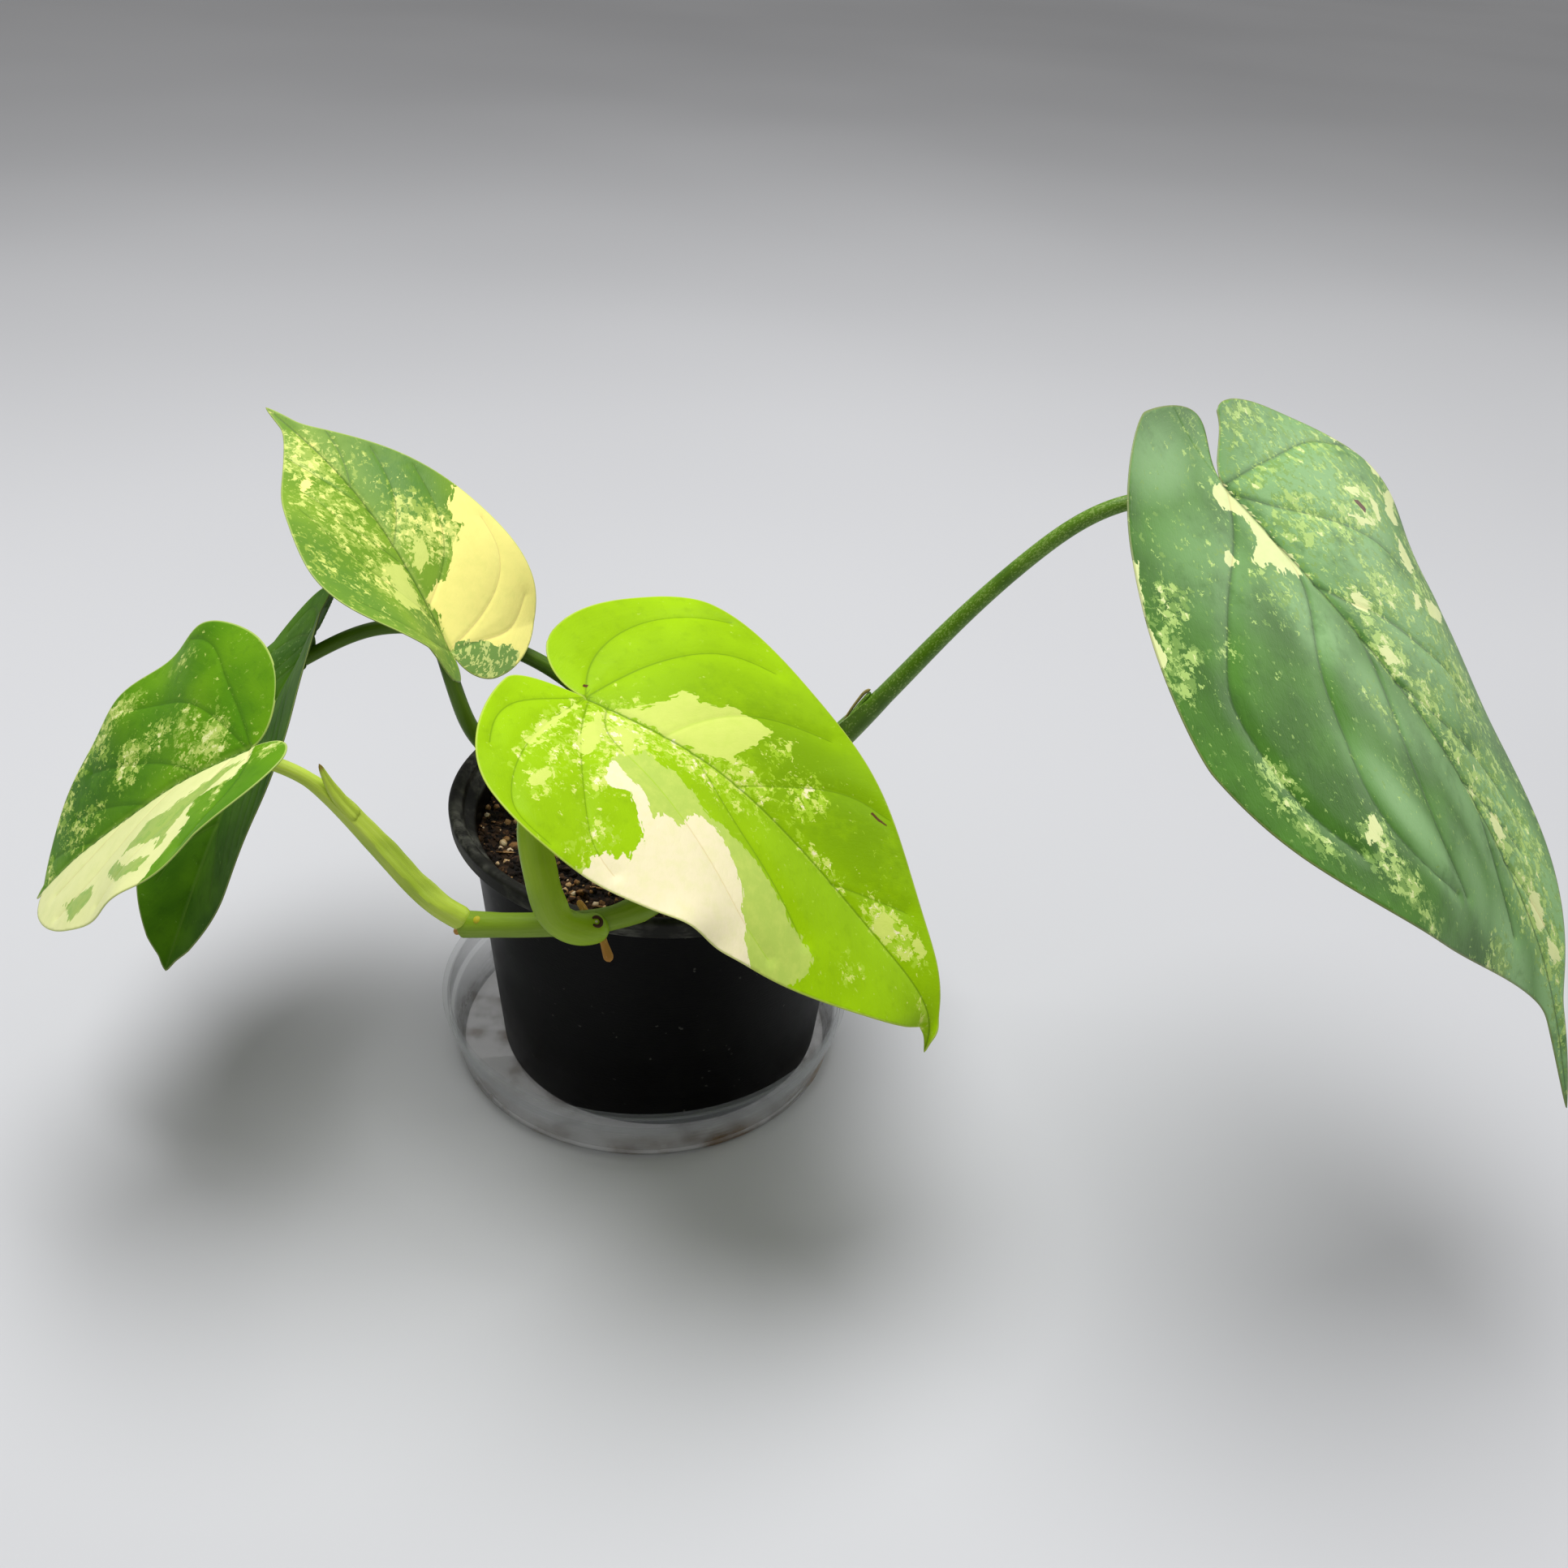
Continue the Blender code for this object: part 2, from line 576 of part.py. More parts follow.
def make_root(key, root, home):
    """Short aerial root with a blunt end."""
    start, end, thick, thin = root
    middle = (Vector(start) + Vector(end)) / 2 + Vector((0.4, 0, 0.3))
    path = (start, tuple(middle), end)
    radii = ((0, thick), (0.85, thin), (1, thin * 0.6))
    return loft_tube(f"root_{key}", path, radii, home, material(f"root_{key}", ROOT_COLOUR, 0.7), rings=6)


def main():
    """Build every piece."""
    for thing in list(bpy.data.objects):
        bpy.data.objects.remove(thing)
    home = collection("potted_syngonium")
    guides = collection("cutters")
    make_saucer(home)
    make_pot(home, guides)
    seats = {}
    stalks = {}
    for key, blade in LEAVES.items():
        seats[key] = seat_plane(blade, make_blade(f"leaf_{key}", blade, home))
        stalks[key] = replace(STALKS[key], path=(*STALKS[key].path, seats[key][0]))
    holes = []
    for key in STALKS_IN_SOIL:
        stalk = stalks[key]
        holes.append(cutter(loft_tube(f"hole_{key}", stalk.path, stalk.radii, guides, sheath=stalk.sheath,
                                      groove=stalk.groove, grow=GAP, until=0.4)))
    holes.append(cutter(loft_tube("hole_stem", STEM_PATH, STEM_RADII, guides, grow=GAP, until=0.4)))
    make_soil(home, holes)
    loft_tube("stem", STEM_PATH, STEM_RADII, home, material("stem", STEM_COLOUR, 0.4), rings=24)
    stem_clear = cutter(loft_tube("stem_clear", STEM_PATH, STEM_RADII, guides, grow=GAP, rings=24))
    stalk_clear = {}
    for key in STALKS_ON_STEM:
        stalk = stalks[key]
        stalk_clear[key] = cutter(loft_tube(f"{key}_clear", stalk.path, stalk.radii, guides, sheath=stalk.sheath,
                                            groove=stalk.groove, grow=GAP, until=0.6))
    for key, stalk in stalks.items():
        made = make_stalk(key, stalk, seats[key], home, guides)
        if key in STALKS_ON_STEM:
            combine(made, stem_clear, "DIFFERENCE")
    for key, root in ROOTS.items():
        made = make_root(key, root, home)
        combine(made, stem_clear, "DIFFERENCE")
        combine(made, stalk_clear["lower_left" if key == "left" else "centre"], "DIFFERENCE")


if __name__ == "__main__":
    main()
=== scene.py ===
"""Looks of the potted syngonium: its pot, saucer, soil, stem, stalks, roots and five leaves.

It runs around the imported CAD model. Shapes are worked out in millimetres and built in metres, in the
CAD frame: +Z up, +X to the right of the front view and +Y away from it. A leaf is laid out flat
first. Its flat coordinates are millimetres across from the midrib, plus to the right half, and
millimetres past the notch where the stalk joins.
"""

from __future__ import annotations

import logging
import math
from collections.abc import Callable, Sequence
from dataclasses import dataclass, field, replace
from enum import Enum

import bmesh
import bpy
import numpy as np
from bpy.types import Material, Mesh, Node, NodeInputs, NodeOutputs, NodeSocket, NodeTree, Object
from mathutils import Matrix, Vector
from mathutils.geometry import delaunay_2d_cdt

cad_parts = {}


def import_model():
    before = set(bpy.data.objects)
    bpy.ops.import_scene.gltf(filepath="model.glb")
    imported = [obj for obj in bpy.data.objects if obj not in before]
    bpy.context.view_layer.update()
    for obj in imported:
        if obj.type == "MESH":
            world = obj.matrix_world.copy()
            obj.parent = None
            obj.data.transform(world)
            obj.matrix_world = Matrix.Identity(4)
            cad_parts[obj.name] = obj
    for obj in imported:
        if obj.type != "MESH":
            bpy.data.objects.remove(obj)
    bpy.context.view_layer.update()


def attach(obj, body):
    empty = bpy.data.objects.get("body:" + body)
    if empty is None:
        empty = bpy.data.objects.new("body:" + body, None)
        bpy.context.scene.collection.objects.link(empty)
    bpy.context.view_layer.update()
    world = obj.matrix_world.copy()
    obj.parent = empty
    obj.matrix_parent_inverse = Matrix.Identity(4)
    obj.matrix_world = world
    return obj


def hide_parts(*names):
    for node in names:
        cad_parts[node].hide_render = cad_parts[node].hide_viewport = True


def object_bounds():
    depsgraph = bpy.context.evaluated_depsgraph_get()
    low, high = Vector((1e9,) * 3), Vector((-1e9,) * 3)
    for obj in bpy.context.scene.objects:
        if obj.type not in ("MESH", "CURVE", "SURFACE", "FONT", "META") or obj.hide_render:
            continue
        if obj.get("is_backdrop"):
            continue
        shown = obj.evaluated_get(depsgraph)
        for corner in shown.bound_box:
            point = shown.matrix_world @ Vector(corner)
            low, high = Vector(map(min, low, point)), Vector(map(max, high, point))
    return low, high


MM = 0.001
ROOT = "root"
LOG = logging.getLogger("syngonium")

Array = np.ndarray
Colour = tuple[float, float, float]
Point = tuple[float, ...]
Lines = tuple[tuple[Point, ...], ...]


def screen(red: int, green: int, blue: int) -> Colour:
    """Linear scene colour of a colour as a screen shows it, from 0 to 255."""
    shares = (red / 255, green / 255, blue / 255)
    return tuple(s / 12.92 if s <= 0.04045 else ((s + 0.055) / 1.055) ** 2.4 for s in shares)


def shades(**colours: tuple[int, int, int]) -> dict[str, Colour]:
    """Scene colours of named screen colours."""
    return {name: screen(*colour) for name, colour in colours.items()}


def linked(name: str, data: bpy.types.ID) -> Object:
    """New object in the scene."""
    made = bpy.data.objects.new(name, data)
    bpy.context.scene.collection.objects.link(made)
    return made


def bake(piece: Object) -> None:
    """Give a piece the plain mesh that its modifier makes, and take the modifier off."""
    view = bpy.context.evaluated_depsgraph_get()
    mesh = bpy.data.meshes.new_from_object(piece.evaluated_get(view))
    piece.modifiers.clear()
    piece.data = mesh


def maths(operation: str, swapped: bool = False) -> Callable[..., Wire]:
    """Method of a wire that adds a Math node.

    Args:
        operation: What the node does.
        swapped: Whether the wire comes last.

    Returns:
        The method, which takes the node's other values and gives its output.
    """

    def apply(wire: Wire, *others: Wire | float) -> Wire:
        """Output of the new node."""
        values = (*others, wire) if swapped else (wire, *others)
        return wire.graph.add("ShaderNodeMath", {"operation": operation}, dict(enumerate(values))).out(0)

    return apply


class Wire:
    """Output of a node that takes part in arithmetic."""

    def __init__(self, graph: Graph, socket: NodeSocket) -> None:
        """Hold a socket of a graph."""
        self.graph = graph
        self.socket = socket

    __add__ = maths("ADD")
    __radd__ = maths("ADD", swapped=True)
    __sub__ = maths("SUBTRACT")
    __rsub__ = maths("SUBTRACT", swapped=True)
    __mul__ = maths("MULTIPLY")
    __rmul__ = maths("MULTIPLY", swapped=True)
    __truediv__ = maths("DIVIDE")
    __pow__ = maths("POWER")
    sine = maths("SINE")
    cosine = maths("COSINE")
    least = maths("MINIMUM")
    exponential = maths("EXPONENT")

    def bell(self, middle: float, spread: float) -> Wire:
        """Bell curve, 1 at a middle value and about a third at a spread away from it."""
        away = (self - middle) / spread
        return (0 - away * away).exponential()

    def between(self, low: Wire | float, high: Wire | float) -> Wire:
        """Smooth step, from 0 at a low value to 1 at a high one."""
        settings = {"interpolation_type": "SMOOTHSTEP"}
        return self.graph.add("ShaderNodeMapRange", settings, {0: self, 1: low, 2: high}).out(0)


class Made:
    """A node just added, with its outputs at hand."""

    def __init__(self, graph: Graph, node: Node) -> None:
        """Hold a node of a graph."""
        self.graph = graph
        self.node = node

    def out(self, key: str | int = 0) -> Wire:
        """Output by its name, identifier or place."""
        return Wire(self.graph, self.graph.socket(self.node.outputs, key))


class Graph:
    """Writes nodes and links into a shader or geometry tree."""

    def __init__(self, tree: NodeTree) -> None:
        """Write into a tree."""
        self.tree = tree

    @staticmethod
    def socket(sockets: NodeInputs | NodeOutputs, key: str | int) -> NodeSocket:
        """Find a socket.

        Args:
            sockets: A node's inputs or outputs.
            key: Its place, identifier or name.

        Returns:
            The socket. Of several with one name, it is the one in use.
        """
        if isinstance(key, int):
            return sockets[key]
        named = [s for s in sockets if s.name == key and s.enabled]
        return (named or [s for s in sockets if s.identifier == key])[0]

    def add(self, kind: str, settings: dict | None = None, sockets: dict | None = None) -> Made:
        """Add a node.

        Args:
            kind: The node's type.
            settings: Its properties, set first. "stops" holds a colour ramp's (place, colour) pairs.
            sockets: Values or wires for its inputs.

        Returns:
            The node.
        """
        node = self.tree.nodes.new(kind)
        for name, value in (settings or {}).items():
            if name == "stops":
                ramp = node.color_ramp
                while len(ramp.elements) < len(value):
                    ramp.elements.new(1)
                for element, (place, colour) in zip(ramp.elements, value):
                    element.position = place
                    element.color = (*colour, 1)
            else:
                setattr(node, name, value)
        for key, value in (sockets or {}).items():
            self.put(self.socket(node.inputs, key), value)
        return Made(self, node)

    def put(self, socket: NodeSocket, value: Wire | float | tuple | str | bool) -> None:
        """Set or link an input.

        Args:
            socket: The input.
            value: Its value, or the wire that feeds it.
        """
        if isinstance(value, Wire):
            self.tree.links.new(value.socket, socket)
        elif isinstance(value, tuple) and len(value) == 3 and socket.type == "RGBA":
            socket.default_value = (*value, 1)
        else:
            socket.default_value = value

    def vector(self, operation: str, *values: Wire | tuple) -> Wire:
        """Output of a new Vector Math node."""
        return self.add("ShaderNodeVectorMath", {"operation": operation}, dict(enumerate(values))).out(0)

    def scaled(self, vector: Wire, factor: Wire | float) -> Wire:
        """Vector made longer or shorter."""
        sockets = {"Vector": vector, "Scale": factor}
        return self.add("ShaderNodeVectorMath", {"operation": "SCALE"}, sockets).out(0)

    def stretched(self, vector: Wire, across: float, along: float) -> Wire:
        """Flat vector with its first two components multiplied."""
        return self.vector("MULTIPLY", vector, (across, along, 1))

    def parts(self, vector: Wire) -> tuple[Wire, Wire, Wire]:
        """The three components of a vector."""
        split = self.add("ShaderNodeSeparateXYZ", None, {0: vector})
        return split.out(0), split.out(1), split.out(2)

    def join(self, first: Wire | float, second: Wire | float, third: Wire | float = 0.0) -> Wire:
        """Vector of three components."""
        return self.add("ShaderNodeCombineXYZ", None, {0: first, 1: second, 2: third}).out(0)

    def noise(self, vector: Wire, scale: float, detail: float = 2.0, roughness: float = 0.5) -> Wire:
        """Noise from 0 to 1, with so many lumps per unit, and octaves of finer ones of a weight."""
        sockets = {"Vector": vector, "Scale": scale, "Detail": detail, "Roughness": roughness}
        return self.add("ShaderNodeTexNoise", {"noise_dimensions": "3D"}, sockets).out("Fac")

    def cells(self, vector: Wire, scale: float) -> Wire:
        """Random value from 0 to 1, one for each cell of an irregular mosaic."""
        made = self.add("ShaderNodeTexVoronoi", None, {"Vector": vector, "Scale": scale})
        return self.parts(made.out("Color"))[0]

    def net(self, vector: Wire, scale: float) -> Wire:
        """Distance to the lines between the cells of an irregular mosaic."""
        settings = {"feature": "DISTANCE_TO_EDGE"}
        return self.add("ShaderNodeTexVoronoi", settings, {"Vector": vector, "Scale": scale}).out("Distance")


class ShaderGraph(Graph):
    """Graph of one material with a Principled shader."""

    def __init__(self, name: str) -> None:
        """Make the material."""
        self.material = bpy.data.materials.new(name)
        self.material.use_nodes = True
        super().__init__(self.material.node_tree)
        self.shader = self.tree.nodes["Principled BSDF"]

    def attribute(self, name: str) -> Wire:
        """Number stored on the mesh."""
        return self.add("ShaderNodeAttribute", {"attribute_name": name}).out("Fac")

    def place(self, name: str) -> Wire:
        """Vector stored on the mesh."""
        return self.add("ShaderNodeAttribute", {"attribute_name": name}).out("Vector")

    def object_place(self) -> Wire:
        """Place on the piece, in millimetres."""
        return self.vector("MULTIPLY", self.add("ShaderNodeTexCoord").out("Object"), (1 / MM,) * 3)

    def mix(self, share: Wire | float, first: Wire | Colour, second: Wire | Colour) -> Wire:
        """Colour between two colours, the first at share 0 and the second at 1."""
        sockets = {"Factor_Float": share, "A_Color": first, "B_Color": second}
        return self.add("ShaderNodeMix", {"data_type": "RGBA"}, sockets).out("Result_Color")

    def ramp(self, value: Wire, *stops: tuple[float, Colour]) -> Wire:
        """Colour read off a ramp."""
        return self.add("ShaderNodeValToRGB", {"stops": stops}, {0: value}).out("Color")

    def bump(self, height: Wire, depth: float) -> Wire:
        """Surface normal with relief from 0 to 1, its real depth given in mm."""
        sockets = {"Height": height, "Distance": depth * MM, "Strength": 1.0}
        return self.add("ShaderNodeBump", None, sockets).out("Normal")

    def finish(
        self, colour: Wire, rough: Wire | float, shine: float, relief: Wire | None = None,
        alpha: Wire | None = None,
    ) -> Material:
        """Feed the shader's inputs.

        Args:
            colour: Base colour.
            rough: Roughness.
            shine: Specular level.
            relief: Surface normal.
            alpha: Opacity.

        Returns:
            The material.
        """
        for name, value in (("Base Color", colour), ("Roughness", rough), ("Specular IOR Level", shine),
                            ("Normal", relief), ("Alpha", alpha)):
            if value is not None:
                self.put(self.shader.inputs[name], value)
        return self.material


class Kind(Enum):
    """Kinds of input that a recipe has."""

    NUMBER = "NodeSocketFloat"
    COUNT = "NodeSocketInt"
    PLACE = "NodeSocketVector"
    FINISH = "NodeSocketMaterial"


class Recipe:
    """A geometry tree with named inputs, which makes plain meshes from guide meshes."""

    def __init__(self, name: str, sizes: dict[str, Kind]) -> None:
        """Start a tree.

        Args:
            name: The tree's name.
            sizes: Its inputs, past the guide and the finish.
        """
        self.tree = bpy.data.node_groups.new(name, "GeometryNodeTree")
        self.graph = Graph(self.tree)
        face = self.tree.interface
        face.new_socket("Guide", in_out="INPUT", socket_type="NodeSocketGeometry")
        face.new_socket("Made", in_out="OUTPUT", socket_type="NodeSocketGeometry")
        self.keys = {}
        for label, kind in {**sizes, "Finish": Kind.FINISH}.items():
            self.keys[label] = face.new_socket(label, in_out="INPUT", socket_type=kind.value).identifier
        self.inputs = self.graph.add("NodeGroupInput")

    def size(self, label: str) -> Wire:
        """Input of the tree."""
        return self.inputs.out(label)

    def named(self, name: str, kind: str = "FLOAT") -> Wire:
        """Attribute that the geometry carries."""
        made = self.graph.add("GeometryNodeInputNamedAttribute", {"data_type": kind}, {"Name": name})
        return made.out("Attribute")

    def spot(self) -> Wire:
        """Place of each point."""
        return self.graph.add("GeometryNodeInputPosition").out()

    def curve(self, mesh: Wire) -> Wire:
        """Curve along a mesh's edges."""
        return self.graph.add("GeometryNodeMeshToCurve", None, {"Mesh": mesh}).out("Curve")

    def ring(self, sides: Wire, label: str) -> Wire:
        """Circle of radius 1 that stores the share of the way around it under a label."""
        sockets = {"Resolution": sides, "Radius": 1.0}
        circle = self.graph.add("GeometryNodeCurvePrimitiveCircle", None, sockets).out("Curve")
        return self.store(circle, label, self.graph.add("GeometryNodeSplineParameter").out("Factor"))

    def moved(self, geometry: Wire, **to: Wire) -> Wire:
        """Geometry with its points at a Position, or moved by an Offset."""
        return self.graph.add("GeometryNodeSetPosition", None, {"Geometry": geometry, **to}).out("Geometry")

    def chance(self, low: Wire | float, high: Wire | float, seed: Wire) -> Wire:
        """Random number between two, one for each point."""
        sockets = {"Min": low, "Max": high, "Seed": seed}
        return self.graph.add("FunctionNodeRandomValue", {"data_type": "FLOAT"}, sockets).out("Value")

    def store(self, geometry: Wire, name: str, value: Wire, kind: str = "FLOAT") -> Wire:
        """Geometry with a value stored under a name."""
        settings = {"data_type": kind, "domain": "POINT"}
        sockets = {"Geometry": geometry, "Name": name, "Value": value}
        return self.graph.add("GeometryNodeStoreNamedAttribute", settings, sockets).out("Geometry")

    def close(self, geometry: Wire) -> None:
        """End the tree in plain geometry with the finish on it."""
        real = self.graph.add("GeometryNodeRealizeInstances", None, {"Geometry": geometry}).out("Geometry")
        sockets = {"Geometry": real, "Material": self.size("Finish")}
        dressed = self.graph.add("GeometryNodeSetMaterial", None, sockets).out("Geometry")
        self.graph.add("NodeGroupOutput", None, {"Made": dressed})

    def run(
        self, name: str, guide: Mesh, finish: Material, **sizes: float
    ) -> Object:
        """Make a piece.

        Args:
            name: The piece's name.
            guide: Mesh that the tree works on.
            finish: The piece's material.
            **sizes: The tree's inputs, with _ for a space.

        Returns:
            The piece, as a plain mesh with its modifier removed.
        """
        piece = linked(name, guide)
        step = piece.modifiers.new("Recipe", "NODES")
        step.node_group = self.tree
        step[self.keys["Finish"]] = finish
        for label, value in sizes.items():
            step[self.keys[label.replace("_", " ")]] = value
        bake(piece)
        piece.data.name = name
        return piece


class SweepRecipe(Recipe):
    """Sweeps a round section along a path, with a sheath's two edges on one side of it.

    The guide is a line of points that carry radius, sheath, flat, groove, distance and share. LIPS and
    HOLLOW say where the sheath's edges and its groove lie around the section, from 0 on the groove's
    side to 2 opposite, and how wide they are. SUNK is the groove's depth beside the edges' height.
    """

    LIPS = (0.29, 0.16)
    HOLLOW = (0, 0.14)
    SUNK = 0.8

    def __init__(self) -> None:
        """Build the tree."""
        super().__init__("sweep", {"Sides": Kind.COUNT})
        add = self.graph.add
        sockets = {"Curve": self.curve(self.size("Guide")), "Normal": self.named("groove", "FLOAT_VECTOR")}
        path = add("GeometryNodeSetCurveNormal", {"mode": "FREE"}, sockets).out("Curve")
        path = self.store(path, "axis", self.spot(), "FLOAT_VECTOR")
        sockets = {"Curve": path, "Profile Curve": self.ring(self.size("Sides"), "around"),
                   "Scale": self.named("radius"), "Fill Caps": True}
        swept = add("GeometryNodeCurveToMesh", None, sockets).out("Mesh")
        turn = self.named("around") * math.tau
        near = (turn.cosine() * -1 + 1).least(2)
        edge = near.bell(*self.LIPS)
        hollow = near.bell(*self.HOLLOW)
        sheath = self.named("sheath")
        shape = 1 + sheath * edge - sheath * hollow * self.SUNK
        shape = shape - self.named("flat") * turn.cosine() * turn.cosine()
        axis = self.named("axis", "FLOAT_VECTOR")
        reach = self.graph.scaled(self.graph.vector("SUBTRACT", self.spot(), axis), shape)
        self.close(self.moved(swept, Position=self.graph.vector("ADD", axis, reach)))


class TurnRecipe(Recipe):
    """Turns a profile round the Z axis, and may raise lumps on what lies above a height.

    Points nearer than SEAM are joined, and the lumps reach their full height RAMP above theirs, in mm.
    """

    SEAM = 0.02
    RAMP = 0.2

    def __init__(self) -> None:
        """Build the tree."""
        super().__init__("turn", {"Segments": Kind.COUNT, "Lump": Kind.NUMBER, "Lumps Above": Kind.NUMBER,
                                  "Lump Scale": Kind.NUMBER, "Centre": Kind.PLACE})
        add = self.graph.add
        profile = self.curve(self.size("Guide"))
        reach, _, height = self.graph.parts(self.spot())
        profile = self.store(profile, "reach", reach)
        profile = self.store(profile, "height", height)
        sockets = {"Curve": self.ring(self.size("Segments"), "turn"), "Profile Curve": profile}
        turned = add("GeometryNodeCurveToMesh", None, sockets).out("Mesh")
        angle, reach = self.named("turn") * math.tau, self.named("reach")
        place = self.graph.join(reach * angle.cosine(), reach * angle.sine(), self.named("height"))
        turned = self.moved(turned, Position=place)
        sockets = {"Geometry": turned, "Distance": self.SEAM * MM}
        turned = add("GeometryNodeMergeByDistance", None, sockets).out("Geometry")
        spot = self.spot()
        sockets = {"Vector": spot, "Scale": self.size("Lump Scale"), "Detail": 4.0, "Roughness": 0.6}
        rise = add("ShaderNodeTexNoise", None, sockets).out("Fac")
        above = self.size("Lumps Above")
        high = self.graph.parts(spot)[2].between(above, above + self.RAMP * MM)
        lump = self.graph.join(0.0, 0.0, (rise - 0.5) * high * self.size("Lump"))
        self.close(self.moved(turned, Offset=self.graph.vector("ADD", self.size("Centre"), lump)))


class ScatterRecipe(Recipe):
    """Scatters irregular crumbs over the part of a surface that faces up above a height.

    RAMP is over how many mm they thin out below it, UP the steepest faces that carry them, as the
    normal's rise, and RAGGED how many lumps of their outlines there are in a metre.
    """

    RAMP = 0.01
    UP = (0.5, 0.6)
    RAGGED = 900.0

    def __init__(self) -> None:
        """Build the tree."""
        numbers = ("Density", "Apart", "Above", "Smallest", "Largest", "Sink", "Ragged", "Tilt")
        counts = dict.fromkeys(("Seed", "Detail"), Kind.COUNT)
        super().__init__("scatter", {**dict.fromkeys(numbers, Kind.NUMBER), **counts, "Shape": Kind.PLACE})
        graph, add, size = self.graph, self.graph.add, self.size
        height = graph.parts(self.spot())[2]
        facing = graph.parts(add("GeometryNodeInputNormal").out())[2]
        chosen = height.between(size("Above"), size("Above") + self.RAMP * MM) * facing.between(*self.UP)
        sockets = {"Mesh": size("Guide"), "Distance Min": size("Apart"), "Density Max": size("Density"),
                   "Density Factor": chosen, "Seed": size("Seed")}
        settings = {"distribute_method": "POISSON"}
        places = add("GeometryNodeDistributePointsOnFaces", settings, sockets).out("Points")
        sockets = {"Radius": 1.0, "Subdivisions": size("Detail")}
        crumb = add("GeometryNodeMeshIcoSphere", None, sockets).out("Mesh")
        scale = graph.scaled(size("Shape"), self.chance(size("Smallest"), size("Largest"), size("Seed")))
        lean = self.chance(0.0, 1.0, size("Seed") + 1)
        spin = self.chance(0.0, math.tau, size("Seed") + 2)
        turn = graph.join((lean - 0.5) * size("Tilt"), spin.sine() * size("Tilt") * 0.5, spin)
        sockets = {"Points": places, "Instance": crumb, "Rotation": turn, "Scale": scale}
        crumbs = add("GeometryNodeInstanceOnPoints", None, sockets).out("Instances")
        crumbs = add("GeometryNodeRealizeInstances", None, {"Geometry": crumbs}).out("Geometry")
        sockets = {"Vector": self.spot(), "Scale": self.RAGGED, "Detail": 2.0}
        shift = add("ShaderNodeTexNoise", None, sockets).out("Color")
        shift = graph.scaled(graph.vector("SUBTRACT", shift, (0.5, 0.5, 0.5)), size("Ragged"))
        sunk = graph.vector("SUBTRACT", shift, graph.join(0.0, 0.0, size("Sink")))
        self.close(self.moved(crumbs, Offset=sunk))


class Spline:
    """Smooth curve through points, natural at both ends, run by its length in mm."""

    def __init__(self, points: Sequence[Point]) -> None:
        """Fit the curve.

        Args:
            points: The points that it goes through.
        """
        self.points = np.array(points, dtype=float)
        self.steps = np.linalg.norm(np.diff(self.points, axis=0), axis=1)
        self.knots = np.concatenate(([0.0], np.cumsum(self.steps)))
        self.length = float(self.knots[-1])
        count = len(self.knots)
        system = np.eye(count)
        right = np.zeros_like(self.points)
        rises = np.diff(self.points, axis=0) / self.steps[:, None]
        for i in range(1, count - 1):
            before, after = self.steps[i - 1 : i + 1]
            system[i, i - 1 : i + 2] = (before, 2 * (before + after), after)
            right[i] = 6 * (rises[i] - rises[i - 1])
        self.bends = np.linalg.solve(system, right)

    def _span(self, distance: Array) -> tuple[Array, ...]:
        """Spans that hold distances, their lengths, and the distances to their two ends."""
        distance = np.asarray(distance, dtype=float)
        i = np.clip(np.searchsorted(self.knots, distance) - 1, 0, len(self.steps) - 1)
        ends = (distance - self.knots[i], self.knots[i + 1] - distance)
        return i, *(value[..., None] for value in (self.steps[i], *ends))

    def at(self, distance: Array) -> Array:
        """Points at distances along the curve."""
        i, step, before, after = self._span(distance)
        bend = self.bends[i] * (after**3 / step - step * after)
        bend = bend + self.bends[i + 1] * (before**3 / step - step * before)
        return (self.points[i] * after + self.points[i + 1] * before) / step + bend / 6

    def along(self, distance: Array) -> Array:
        """Unit directions at distances along the curve."""
        i, step, before, after = self._span(distance)
        rise = (self.points[i + 1] - self.points[i]) / step
        bend = self.bends[i + 1] * (3 * before**2 / step - step)
        bend = bend - self.bends[i] * (3 * after**2 / step - step)
        return unit(rise + bend / 6)


def unit(vectors: Array) -> Array:
    """Vectors scaled to length 1."""
    return vectors / np.linalg.norm(vectors, axis=-1, keepdims=True)


def bell(away: Array, spread: float | Array) -> Array:
    """Bell curve of distances: 1 at none, and about a third at the spread."""
    return np.exp(-((away / spread) ** 2))


def polygon_distance(x: Array, y: Array, corners: Array, closed: bool = True) -> Array:
    """Distance of flat points to a line of points.

    Args:
        x: Points' first coordinates.
        y: Points' second coordinates.
        corners: The line's points.
        closed: Whether the line closes on itself. If so, what lies inside has a plus sign and the
            rest a minus. If not, the sign tells the line's sides apart.

    Returns:
        One distance for each point.
    """
    after = np.roll(corners, -1, axis=0)
    pairs = zip(corners, after) if closed else zip(corners[:-1], after[:-1])
    inside = np.zeros(x.shape, dtype=bool)
    nearest = np.full(x.shape, np.inf)
    for (ax, ay), (bx, by) in pairs:
        dx, dy = bx - ax, by - ay
        share = np.clip(((x - ax) * dx + (y - ay) * dy) / max(dx * dx + dy * dy, 1e-12), 0, 1)
        away = (x - ax - share * dx) ** 2 + (y - ay - share * dy) ** 2
        if not closed:
            inside = np.where(away < nearest, dx * (y - ay) > dy * (x - ax), inside)
        elif ay != by:
            inside ^= ((ay > y) != (by > y)) & (x < dx * (y - ay) / dy + ax)
        nearest = np.minimum(nearest, away)
    return np.sqrt(nearest) * np.where(inside, 1, -1)


class Shade(Enum):
    """Colours of a patch on a leaf, named as the mesh stores them."""

    PALE = "pale"
    SAGE = "sage"
    CREAM = "cream"
    DEEP = "deep"
    SCAR = "scar"


